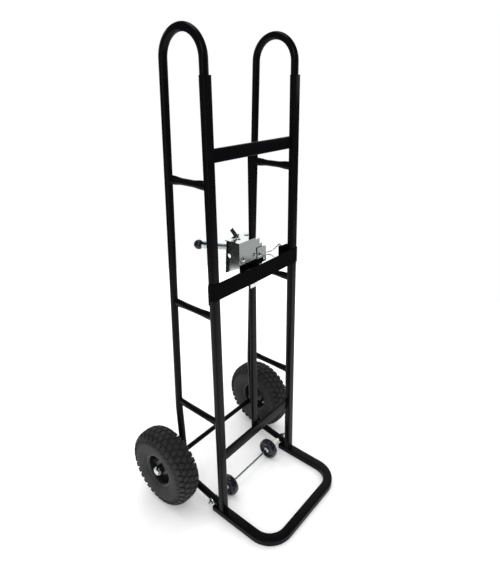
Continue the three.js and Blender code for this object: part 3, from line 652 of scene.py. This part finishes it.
# Polished polypropylene, blue black: a clear gloss with soft flow marks.
plastic, tree, shader, place = finish_named("polished_black_plastic", IOR=1.49)
flow = wire(tree, "TexNoise", {"Vector": place, "Scale": 60.0, "Detail": 3.0, "Distortion": 1.2})
tint = wire(tree, "Mix", {0: flow.outputs["Fac"], 6: linear("#0a0a10"), 7: linear("#1a1a26")},
            data_type="RGBA")
clear = wire(tree, "MapRange", {"Value": flow.outputs["Fac"], "To Min": 0.14, "To Max": 0.3})
bump = wire(tree, "Bump", {"Height": flow.outputs["Fac"], "Strength": 0.08, "Distance": 0.0005})
wire(tree, shader, {"Base Color": tint.outputs[2], "Roughness": clear.outputs[0], "Normal": bump.outputs[0]})

# Natural nylon: milky white, slightly waxy, with faint turning marks.
nylon, tree, shader, place = finish_named("natural_nylon", IOR=1.53, Subsurface_Weight=0.1,
                                          Subsurface_Scale=0.002)
cloud = wire(tree, "TexNoise", {"Vector": place, "Scale": 180.0, "Detail": 3.0})
tint = wire(tree, "Mix", {0: cloud.outputs["Fac"], 6: linear("#e9e8e2"), 7: linear("#f4f3ee")},
            data_type="RGBA")
waxy = wire(tree, "MapRange", {"Value": cloud.outputs["Fac"], "To Min": 0.35, "To Max": 0.5})
rings = wire(tree, "TexWave", {"Vector": place, "Scale": 160.0}, bands_direction="X")
bump = wire(tree, "Bump", {"Height": rings.outputs["Fac"], "Strength": 0.1, "Distance": 0.0001})
wire(tree, shader, {"Base Color": tint.outputs[2], "Roughness": waxy.outputs[0], "Normal": bump.outputs[0]})


def threaded(x0, x1, radius, pitch, facets=32):
    """Grid of a screw thread on the X axis: the radius rises and falls with along / pitch - angle / full
    turn, and fades to a plain chamfer at the tip."""
    count = int(abs(x1 - x0) / pitch * 8)
    a = np.arange(facets) * 2 * np.pi / facets
    x = np.linspace(x0, x1, count)[:, None]
    ridge = 0.5 + 0.5 * np.cos(2 * np.pi * (x / pitch - a[None] / (2 * np.pi)))
    tip = np.clip(np.abs(x1 - x) / 1.0, 0, 1)
    radius = (radius - 0.45 * (1 - ridge)) * (0.8 + 0.2 * tip)
    body = np.stack([np.broadcast_to(x, radius.shape), radius * np.cos(a), radius * np.sin(a)], -1)
    tipped = np.stack([0 * a + x1, 0 * a, 0 * a], -1)[None]
    start = np.stack([0 * a + x0, 0 * a, 0 * a], -1)[None]
    return np.concatenate([start, body, tipped])


rod = [skin(turned(bar_profile(-196, 196, 4.0, 0.1), 32) + ROD_AT, "open")]
rod += [skin(threaded(196 * out, 205 * out, 4.0, 1.25) + ROD_AT, "open") for out in (-1, 1)]
piece("thin_rod", rod, zinc, "frame", ["small_wheel_rod"])
small_half = [[0, 35.5], [3.5, 35.3], [9.0, 33.8], [12.2, 30.4], [12.5, 27.0], [9.6, 25.4], [5.4, 23.6],
              [5.0, 20], [5.4, 14.6], [8.6, 12.4], [9.0, 10.6], [9.0, 4.4]]
small_radii = [6, 5, 4, 2, 1.6, 2.4, 1.5, 2, 1.6, 1, 0.8, 0.2]
mirrored = [[-x, r] for x, r in small_half[::-1]]
small_line = rounded(small_half[1:] + mirrored[:-1], small_radii[1:] + small_radii[:0:-1], 5)
for side, out in outward.items():
    wheel = turned(small_line, 96) + [out * SMALL_X, 0, 0] + ROD_AT
    name = f"small_wheel_{side}"
    piece(f"polished_{name}", [skin(wheel, "join")], plastic, name, [name], crease=50)
    washer = turned(washer_profile(95.1, 96.7, 4.2, 9, 0.25), 48) * [out, 1, 1] + ROD_AT
    piece(f"small_washer_{side}", [skin(washer, "join")], zinc, "frame",
          [f"rod_washer_{side}"])
    spacer = turned(washer_profile(115.4, 165.2, 4.2, 6.2, 0.5), 48) * [out, 1, 1] + ROD_AT
    piece(f"spacer_{side}", [skin(spacer, "join")], nylon, "frame", [f"rod_spacer_{side}"])
    nut = hexagon(13.8, 190.4, 197.4, 4.0) * [out, 1, 1] + ROD_AT
    flange = turned(washer_profile(188.6, 190.2, 4.2, 9.5, 0.25), 48) * [out, 1, 1] + ROD_AT
    piece(f"small_nut_{side}", [skin(nut, "join"), skin(flange, "join")], zinc, "frame",
          [f"rod_nut_{side}"], crease=25)

# ---------------------------------------------------------------------------
# Ratchet housing, hook plate, pawl and release tab: 2 to 3 mm sheet steel,
# cut, bent and zinc plated, with its edges slightly broken by tumbling. The
# housing's tongue is bolted to the upright and its two shelves carry the pins.
# ---------------------------------------------------------------------------
# Machined steel: neutral grey, finely turned, a little duller than the zinc.
steel, tree, shader, place = finish_named("machined_steel", Metallic=1.0)
wear = wire(tree, "TexNoise", {"Vector": place, "Scale": 140.0, "Detail": 5.0})
tint = wire(tree, "Mix", {0: wear.outputs["Fac"], 6: linear("#aeb6b8"), 7: linear("#d2d8d8")},
            data_type="RGBA")
turning = wire(tree, "MapRange", {"Value": wear.outputs["Fac"], "From Min": 0.3, "From Max": 0.7,
                                  "To Min": 0.24, "To Max": 0.42})
fine = wire(tree, "TexNoise", {"Vector": place, "Scale": 1700.0, "Detail": 2.0})
bump = wire(tree, "Bump", {"Height": fine.outputs["Fac"], "Strength": 0.15, "Distance": 0.0001})
wire(tree, shader, {"Base Color": tint.outputs[2], "Roughness": turning.outputs[0],
                    "Normal": bump.outputs[0]})


def broken_edges(name, node, body, material, width):
    """A sheet part in its own place and shape: a merged copy of the solid with flat faces joined, and every
    edge sharper than 40 degrees rounded off by width millimetres."""
    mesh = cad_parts[node].data.copy()
    mesh.name = name
    mesh.materials.clear()
    mesh.materials.append(material)
    bm = bmesh.new()
    bm.from_mesh(mesh)
    bmesh.ops.remove_doubles(bm, verts=bm.verts, dist=1e-5)
    bmesh.ops.dissolve_limit(bm, angle_limit=math.radians(1.5), verts=bm.verts, edges=bm.edges)
    bm.to_mesh(mesh)
    bm.free()
    made = bpy.data.objects.new(name, mesh)
    bpy.context.scene.collection.objects.link(made)
    bevel = made.modifiers.new("broken_edges", "BEVEL")
    bevel.width = width / 1000
    bevel.segments = 2
    bevel.limit_method = "ANGLE"
    bevel.angle_limit = math.radians(40)
    mesh.shade_smooth()
    mesh.set_sharp_from_angle(angle=math.radians(32))
    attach(made, body)
    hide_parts(node)
    return made


broken_edges("bent_housing", "ratchet_housing", "frame", zinc, 0.5)
broken_edges("bail_plate", "hook_plate", "frame", zinc, 0.4)
broken_edges("pawl_blade", "pawl", "pawl", steel, 0.35)
broken_edges("release_strip", "release_tab", "pawl", zinc, 0.4)

# ---------------------------------------------------------------------------
# Housing bolts, zinc plated: two M6 hex bolts with washers through the upright
# and two M8 bolts with domed heads through the sheet, each with a nut behind.
# ---------------------------------------------------------------------------
HEAD_R = 8.2
HEAD_TALL = 4.4
HEAD_DOME = 4.1  # how much of a head's height is its dome


def turned_to_y(grid):
    """A part on the X axis turned to lie along Y."""
    return np.stack([-grid[..., 1], grid[..., 0], grid[..., 2]], -1)


# Each bolt: its radius, size across flats, place, the face under its head, its length and where its nut
# starts.
bolts = {
    1: (3.0, 10, 0, 842, 5.0, 17.5, 18.4),
    2: (3.0, 10, 0, 755, 5.0, 17.5, 18.4),
    3: (4.0, 13, -49, 843, 5.0, 11.0, 7.9),
    4: (4.0, 13, 19.5, 838.5, 2.3, 13.5, 7.9),
}
for number, (radius, flats, x, z, face, length, behind) in bolts.items():
    parts = [skin(turned_to_y(threaded(face, face + length, radius, radius / 3)), "open")]
    if radius == 4:
        t = np.linspace(0, 1, 14)[:, None]
        quarter_arc = np.concatenate([1 - np.cos(t * np.pi / 2), np.sin(t * np.pi / 2)], 1)
        seat = [[face, HEAD_R - 0.1], [face, 0]]
        dome = np.concatenate([[face - HEAD_TALL, 0] + [HEAD_DOME, HEAD_R] * quarter_arc, seat])
        parts.append(skin(turned_to_y(turned(dome, 48)), "open"))
    else:
        parts.append(skin(turned_to_y(hexagon(flats, face - 0.7 * radius - 1.5, face - 1.5, 0)), "open"))
        parts.append(skin(turned_to_y(turned(washer_profile(face - 1.6, face, 0, 2.1 * radius, 0.3), 40)),
                          "open"))
    parts = [(p + [x, 0, z], f) for p, f in parts]
    piece(f"hex_bolt_{number}", parts, zinc, "frame", [f"housing_bolt_{number}"], crease=25)
    nut = turned_to_y(hexagon(flats, behind, behind + 1.4 * radius, radius)) + [x, 0, z]
    piece(f"hex_nut_{number}", [skin(nut, "join")], zinc, "frame", crease=25)

# ---------------------------------------------------------------------------
# Spool and ratchet wheel: a turned steel shaft that the webbing winds on, with
# a twelve-tooth wheel pressed on it between the shelves.
# ---------------------------------------------------------------------------
SPOOL_AT = np.array([8.0, 42.0, 0])


def stood_up(grid):
    """A part on the X axis stood up along Z."""
    return np.stack([grid[..., 1], grid[..., 2], grid[..., 0]], -1)


shaft = rounded([[742, 0], [742, 7], [897, 7], [897, 0]], [0, 0.9, 0.9, 0], 4, closed=False)
piece("winding_shaft", [skin(stood_up(turned(shaft, 48)) + SPOOL_AT, "open")], steel, "spool",
      ["spool_shaft"])

tooth = (np.arange(240) / 20) % 1
lean = np.where(tooth < 0.1, 17 - 44 * tooth, 12.6 + 4.4 * np.clip((tooth - 0.1) / 0.9, 0, 1) ** 1.2)
a = np.arange(240) * 2 * np.pi / 240
outline = np.stack([lean * np.cos(a), lean * np.sin(a)], 1)
levels = np.array([827.0, 827.4, 832.6, 833.0])
shrink = np.array([0.975, 1, 1, 0.975])[:, None, None]
wheel_out = np.concatenate([outline[None] * shrink, np.broadcast_to(levels[:, None, None], (4, 240, 1))], 2)
bore = circle(7.2, 240)
wheel_in = np.concatenate([np.broadcast_to(bore, (4, 240, 2)),
                           np.broadcast_to(levels[:, None, None], (4, 240, 1))], 2)
piece("toothed_wheel", [hollow(wheel_out + SPOOL_AT, wheel_in + SPOOL_AT)], zinc, "spool",
      ["ratchet_wheel"])

# ---------------------------------------------------------------------------
# Lever: a steel bar in a turned boss on its own post, pointing back and to the
# left, with a bright collar and a moulded black ball for the hand.
# ---------------------------------------------------------------------------
LEVER_AT = np.array([-36.0, 36.0, 868.0])
LEVER_WAY = np.array([-0.404, 0.915]) / math.hypot(0.404, 0.915)
LEVER_LONG = 108.7
BALL_R = 14.5


def pointed(grid):
    """A part on the X axis turned to point along the lever, from its pivot."""
    x, y = grid[..., 0], grid[..., 1]
    return np.stack([x * LEVER_WAY[0] - y * LEVER_WAY[1], x * LEVER_WAY[1] + y * LEVER_WAY[0],
                     grid[..., 2]], -1) + LEVER_AT


post = rounded([[818, 0], [818, 7], [897, 7], [897, 0]], [0, 0.9, 0.9, 0], 4, closed=False)
piece("lever_pin", [skin(stood_up(turned(post, 48)) + LEVER_AT * [1, 1, 0], "open")], steel, "frame",
      ["lever_post"])
boss_line = rounded([[-10, 7.3], [-10, 12.5], [10, 12.5], [10, 7.3]], [0.3, 1.0, 1.0, 0.3], 4)
boss = stood_up(turned(boss_line, 64)) + LEVER_AT
arm = turned([[9, 0], [9, 9.8], [11.5, 9.4], [14, 9.0], [92, 9.0], [107.9, 9.0], [108.6, 8.3], [108.6, 0]],
             56)
piece("lever_bar", [skin(boss, "join"), skin(pointed(arm), "open")], steel, "lever", ["lever"])
collar_line = rounded([[92.7, 9.15], [92.7, 11.5], [95.4, 11.5], [96.1, 10.6], [98.1, 10.6], [98.8, 11.5],
                       [109.7, 11.5], [109.7, 9.15]], [0.2, 0.8, 0.3, 0.3, 0.3, 0.3, 0.8, 0.2], 4)
piece("lever_ferrule", [skin(pointed(turned(collar_line, 64)), "join")], zinc, "lever",
      ["lever_collar"])
t = np.linspace(math.asin(8.8 / BALL_R), np.pi, 40)
ball = np.stack([LEVER_LONG + 13 - BALL_R * np.cos(t),
                 BALL_R * np.sin(t) + 0.12 * np.exp(-(((t - np.pi / 2) / 0.05) ** 2))], 1)
neck = [[110.0, 0], [110.0, 8.0], [110.1, 8.6]]
piece("ball_grip", [skin(pointed(turned(np.concatenate([neck, ball]), 64)), "open")], plastic, "lever",
      ["lever_ball"])

# ---------------------------------------------------------------------------
# Webbing strap: 50 mm black polyester webbing, 2 mm thick. It is wound on the
# spool, goes round the left rail, across the front and round the right rail,
# and is folded back there round a wire and sewn to itself.
# ---------------------------------------------------------------------------
STRAP_LOW = 769.0
STRAP_WIDE = 50.0
STRAP_THICK = 2.0
STRAP_LIFT = 9.0
STRAP_DROP = 21.0

# Polyester webbing: matt black yarn in a herringbone of ribs 1.6 mm apart,
# drawn a little coarse so that it shows, with a tight plain edge and a dry
# sheen where the yarn turns over.
webbing, tree, shader, place = finish_named("woven_polyester_webbing", Sheen_Weight=0.004,
                                            Sheen_Roughness=0.5, Specular_IOR_Level=0.03)
flat_way = wire(tree, "SeparateXYZ", {"Vector": wire(tree, "UVMap", uv_map="cloth").outputs["UV"]})
across, along = flat_way.outputs["X"], flat_way.outputs["Y"]
zigzag = wire(tree, "Math", {0: across, 1: 0.0063}, operation="PINGPONG")
slant = wire(tree, "Math", {0: along, 1: zigzag.outputs[0]}, operation="ADD")
twill_angle = wire(tree, "Math", {0: slant.outputs[0], 1: 2 * math.pi / 0.0032}, operation="MULTIPLY")
twill = wire(tree, "Math", {0: twill_angle.outputs[0]}, operation="SINE")
yarn_angle = wire(tree, "Math", {0: across, 1: 2 * math.pi / 0.0021}, operation="MULTIPLY")
yarns = wire(tree, "Math", {0: yarn_angle.outputs[0]}, operation="SINE")
faint = wire(tree, "Math", {0: yarns.outputs[0], 1: 0.3}, operation="MULTIPLY")
weave = wire(tree, "Math", {0: twill.outputs[0], 1: 0.7, 2: faint.outputs[0]}, operation="MULTIPLY_ADD")
raised = wire(tree, "MapRange", {"Value": weave.outputs[0], "From Min": -1.0, "From Max": 1.0})
tint = wire(tree, "Mix", {0: raised.outputs[0], 6: linear("#040405"), 7: linear("#0b0b0d")}, data_type="RGBA")
fuzz = wire(tree, "TexNoise", {"Vector": place, "Scale": 800.0, "Detail": 2.0})
dry = wire(tree, "MapRange", {"Value": fuzz.outputs["Fac"], "To Min": 0.8, "To Max": 0.98})
bump = wire(tree, "Bump", {"Height": raised.outputs[0], "Strength": 0.5, "Distance": 0.0004})
wire(tree, shader, {"Base Color": tint.outputs[2], "Roughness": dry.outputs[0], "Normal": bump.outputs[0]})


def arc(x, y, radius, start, end, count):
    """Points of an arc about (x, y), in degrees."""
    a = np.radians(np.linspace(start, end, count))
    return np.stack([x + radius * np.cos(a), y + radius * np.sin(a)], 1)


COIL_TURNS, COIL_START, COIL_STEP = 3, 9.2, 2.7
t = np.linspace(0, COIL_TURNS, 145)
turned_by = -np.pi / 2 - 2 * np.pi * t
coil = (COIL_START + COIL_STEP * t)[:, None] * np.stack([np.cos(turned_by), np.sin(turned_by)],
                                                        1) + SPOOL_AT[:2]
snug = RAIL_BACK + 0.3 + STRAP_THICK / 2
front_y = -(RAIL_FLAT + 0.3 + STRAP_THICK / 2)
turn_r = 4.0 + 0.3 + STRAP_THICK / 2
hem_x = SIDE_X - 34
strap_line = np.concatenate(
    [
        coil,
        arc(-SIDE_X, 0, snug, 92, 180, 12),
        arc(-SIDE_X - snug + turn_r, front_y + turn_r, turn_r, 180, 270, 8),
        arc(SIDE_X + snug - turn_r, front_y + turn_r, turn_r, -90, 0, 8),
        arc(SIDE_X, 0, snug, 0, 90, 12),
        [[SIDE_X - 12, snug - 0.1], [SIDE_X - 24, snug + 0.3]],
        arc(hem_x, snug + 5.4, 4.4, -75, -285, 22),
        [[SIDE_X - 27, snug + 4.2], [SIDE_X - 21, snug + 2.4], [SIDE_X - 4, snug + 2.15]],
    ]
)
strap_line = spread(strap_line, 4)
at = np.concatenate([[0], np.cumsum(np.linalg.norm(np.diff(strap_line, axis=0), axis=1))])
half_w, half_t = STRAP_WIDE / 2, STRAP_THICK / 2
edge = rounded([[-half_w, -half_t], [half_w, -half_t], [half_w, half_t], [-half_w, half_t]], 0.9, 3)
rib = np.linspace(-half_w + 1, half_w - 1, 15)
section = np.concatenate([edge[4:8], edge[8:12], np.stack([rib[::-1], 0 * rib + half_t], 1)[1:-1],
                          edge[12:16], edge[0:4], np.stack([rib, 0 * rib - half_t], 1)[1:-1]])
path = np.concatenate([strap_line, np.full((len(strap_line), 1), STRAP_LOW + half_w)], 1)
cloth = swept(path, section, (0, 0, 1))


def eased(value, low, high):
    """0 below low, 1 above high, and t^2 (3 - 2 t) between."""
    t = np.clip((value - low) / (high - low), 0, 1)
    return t * t * (3 - 2 * t)


def lifted(grid):
    """The strap's height above its straight front run: behind the right rail it rides a little higher, and
    behind the left one it slants down to the level of the spool."""
    x, y = grid[..., 0], grid[..., 1]
    rise = STRAP_LIFT * eased(y, -10, 12) * eased(x, 75, 150)
    fall = STRAP_DROP * (x < 60) * eased(y, 2, 14)
    return grid + (rise - fall)[..., None] * [0, 0, 1]


middle_run = (cloth[..., 1] < -8) & (np.abs(cloth[..., 0]) < 150)
slack = np.where(middle_run, 1.6 * np.cos(cloth[..., 0] / 150 * np.pi / 2) ** 2, 0)
cloth = cloth - slack[..., None] * [0, 0, 1]
uv = np.stack([cloth[..., 2] - STRAP_LOW, np.broadcast_to(at[:, None], cloth.shape[:2])], -1).reshape(-1,
    2) / 1000
strap = piece("webbing_strap", [skin(lifted(cloth))], webbing, "frame", ["strap"], crease=50)
cloth_uv = strap.data.uv_layers.new(name="cloth")
corner = np.zeros(len(strap.data.loops), int)
strap.data.loops.foreach_get("vertex_index", corner)
cloth_uv.data.foreach_set("uv", uv[corner].astype(np.float32).ravel())

# ---------------------------------------------------------------------------
# Stitching: a box of bonded black thread, crossed corner to corner, that sews
# the strap's folded end to itself; each stitch is a short rounded run.
# ---------------------------------------------------------------------------
SEAM_X = (SIDE_X - 22, SIDE_X - 5)
SEAM_Z = (784.0, 822.0)
corners = np.array([[SEAM_X[0], SEAM_Z[0]], [SEAM_X[1], SEAM_Z[0]], [SEAM_X[1], SEAM_Z[1]],
                    [SEAM_X[0], SEAM_Z[1]], [SEAM_X[0], SEAM_Z[0]],
                    [SEAM_X[1], SEAM_Z[1]], [SEAM_X[1], SEAM_Z[0]], [SEAM_X[0], SEAM_Z[1]]])
stitches = []
for a, b in zip(corners[:-1], corners[1:]):
    count = max(3, int(np.linalg.norm(b - a) / 3.4))
    for i in range(count):
        ends = a + (b - a) * np.array([[i + 0.12], [i + 0.88]]) / count
        t = np.linspace(0, 1, 7)[:, None]
        run = ends[0] + (ends[1] - ends[0]) * t
        swell = 0.42 * np.sqrt(np.clip(1.02 - (2 * t[:, 0] - 1) ** 2, 0, 1))
        line = np.stack([run[:, 0], snug + 3.25 + 0 * run[:, 0], run[:, 1]], 1)
        stitches.append(skin(swept(line, circle(1.0, 6)[None] * swell[:, None, None], (0, 1, 0))))
piece("strap_stitches", stitches, webbing, "frame", crease=80)

# ---------------------------------------------------------------------------
# Wire bail: 3 mm zinc wire bent to a triangle through the strap's sewn end;
# its two arms come together and hook through the slot in the plate.
# ---------------------------------------------------------------------------
bail_line = np.array([[140, 19.4, 769.5], [143, 19.6, 773], [143, 19.6, 786], [143, 19.6, 818],
                      [143, 19.6, 831.5], [140, 19.4, 834.5],
                      [118, 17.4, 831], [92, 14.5, 827.5], [62, 9.8, 833], [47, 9, 832.5], [42, 6, 832],
                      [42, 0, 831.5], [42, -1.5, 829],
                      [42, 0, 826.5], [42, 6, 826], [47, 9, 825.5], [62, 9.8, 825], [84, 13.5, 817],
                      [112, 17, 797], [134, 19, 774.5]])


def flowing(points, steps):
    """A closed smooth line through points: between two of them, a cubic whose slopes there point from the
    neighbour before to the neighbour after."""
    before, after, last = np.roll(points, 1, 0), np.roll(points, -1, 0), np.roll(points, -2, 0)
    gap = np.linalg.norm(after - points, axis=1)[:, None]
    gap_before = np.roll(gap, 1, 0)
    gap_after = np.roll(gap, -1, 0)
    slope = ((points - before) / gap_before * gap + (after - points) / gap * gap_before) / (gap
        + gap_before) * gap
    slope_end = ((after - points) / gap * gap_after + (last - after) / gap_after * gap) / (gap
        + gap_after) * gap
    t = np.linspace(0, 1, steps, endpoint=False)[None, :, None]
    p, q, m, n = points[:, None], after[:, None], slope[:, None], slope_end[:, None]
    line = (2 * t**3 - 3 * t**2 + 1) * p + (t**3 - 2 * t**2 + t) * m + (3 * t**2 - 2 * t**3) * q + (t**3
        - t**2) * n
    return line.reshape(-1, 3)


bent = smooth_loop(flowing(bail_line, 10), 260)
piece("bail_wire", [skin(swept(bent, circle(1.5, 14), (0.05, 1, 0.02), loop=True), "join")], zinc, "frame",
      ["strap_bail"], crease=60)

# ---------------------------------------------------------------------------
# Studio: a pale floor, large soft lights and the camera.
# ---------------------------------------------------------------------------
FLOOR_R = 2.0

floor_paper, tree, shader, place = finish_named("matt_white_paper", Specular_IOR_Level=0.1)
fibre = wire(tree, "TexNoise", {"Vector": place, "Scale": 30.0, "Detail": 2.0})
tint = wire(tree, "Mix", {0: fibre.outputs["Fac"], 6: linear("#f9f9fa"), 7: linear("#fdfdfd")},
            data_type="RGBA")
wire(tree, shader, {"Base Color": tint.outputs[2], "Roughness": 0.9})
radii = np.array([0.0, 0.3, 0.8, 1.6, FLOOR_R])[:, None]
a = np.linspace(0, 2 * np.pi, 96, endpoint=False)[None]
disc = np.stack([radii * np.cos(a), radii * np.sin(a), 0 * radii * a], -1)
points, faces = skin(disc, "open")
mesh = bpy.data.meshes.new("studio_floor")
mesh.from_pydata(points.tolist(), [], faces)
mesh.materials.append(floor_paper)
floor = bpy.data.objects.new("studio_floor", mesh)
bpy.context.scene.collection.objects.link(floor)

world = bpy.data.worlds.new("studio")
bpy.context.scene.world = world
world.use_nodes = True
tree = world.node_tree
sky = tree.nodes["Background"]
ray = wire(tree, "LightPath")
level = wire(tree, "MapRange", {"Value": ray.outputs["Is Glossy Ray"], "To Min": 1.0, "To Max": 0.03})
wire(tree, sky, {"Color": (1, 1, 1, 1), "Strength": level.outputs[0]})

# Each light: where it is, where it faces, its width and height in metres, and its power.
lights = {
    "key_softbox": ((-1.8, -1.6, 2.6), (0, 0, 0.8), 0.8, 1.1, 14),
    "right_softbox": ((2.2, -1.2, 1.7), (0, 0, 0.7), 0.6, 0.9, 7),
    "top_softbox": ((0.1, 0.3, 3.2), (0, 0, 0), 0.9, 1.2, 10),
    "rim_softbox": ((-0.6, 2.4, 1.8), (0, 0, 0.8), 0.6, 0.9, 6),
    "back_card": ((2.1, 1.75, 1.9), (0, 0, 1.0), 3.2, 2.4, 30),
    "low_card": ((1.62, -1.35, 0.2), (0, 0, 0.35), 2.0, 0.36, 1.0),
    "left_card": ((-2.2, -0.25, 0.9), (0, 0, 0.85), 1.5, 1.6, 7),
}
for name, (at, to, width, height, power) in lights.items():
    lamp = bpy.data.lights.new(name, "AREA")
    lamp.shape = "RECTANGLE"
    lamp.size = width
    lamp.size_y = height
    lamp.energy = power
    made = bpy.data.objects.new(name, lamp)
    made.location = at
    made.rotation_euler = (Vector(to) - Vector(at)).to_track_quat("-Z", "Y").to_euler()
    made.visible_camera = False
    bpy.context.scene.collection.objects.link(made)

AZIMUTH, ELEVATION, ROLL = (math.radians(v) for v in (-50.26, 20.07, -0.46))
away = Vector((math.sin(AZIMUTH) * math.cos(ELEVATION), -math.cos(AZIMUTH) * math.cos(ELEVATION),
               math.sin(ELEVATION)))
level_x = Vector((0, 0, 1)).cross(away).normalized()
level_y = away.cross(level_x)
right = level_x * math.cos(ROLL) + level_y * math.sin(ROLL)
up = level_y * math.cos(ROLL) - level_x * math.sin(ROLL)
lens = bpy.data.cameras.new("camera")
lens.sensor_width = 36
lens.lens = 29.7076
lens.shift_x = -0.013732
lens.shift_y = -0.063099
camera = bpy.data.objects.new("camera", lens)
camera.matrix_world = Matrix.Translation((-0.97396, -0.86864, 1.32967)) @ Matrix((right, up,
    away)).transposed().to_4x4()
bpy.context.scene.collection.objects.link(camera)
bpy.context.scene.camera = camera
bpy.context.scene.view_settings.view_transform = "Standard"
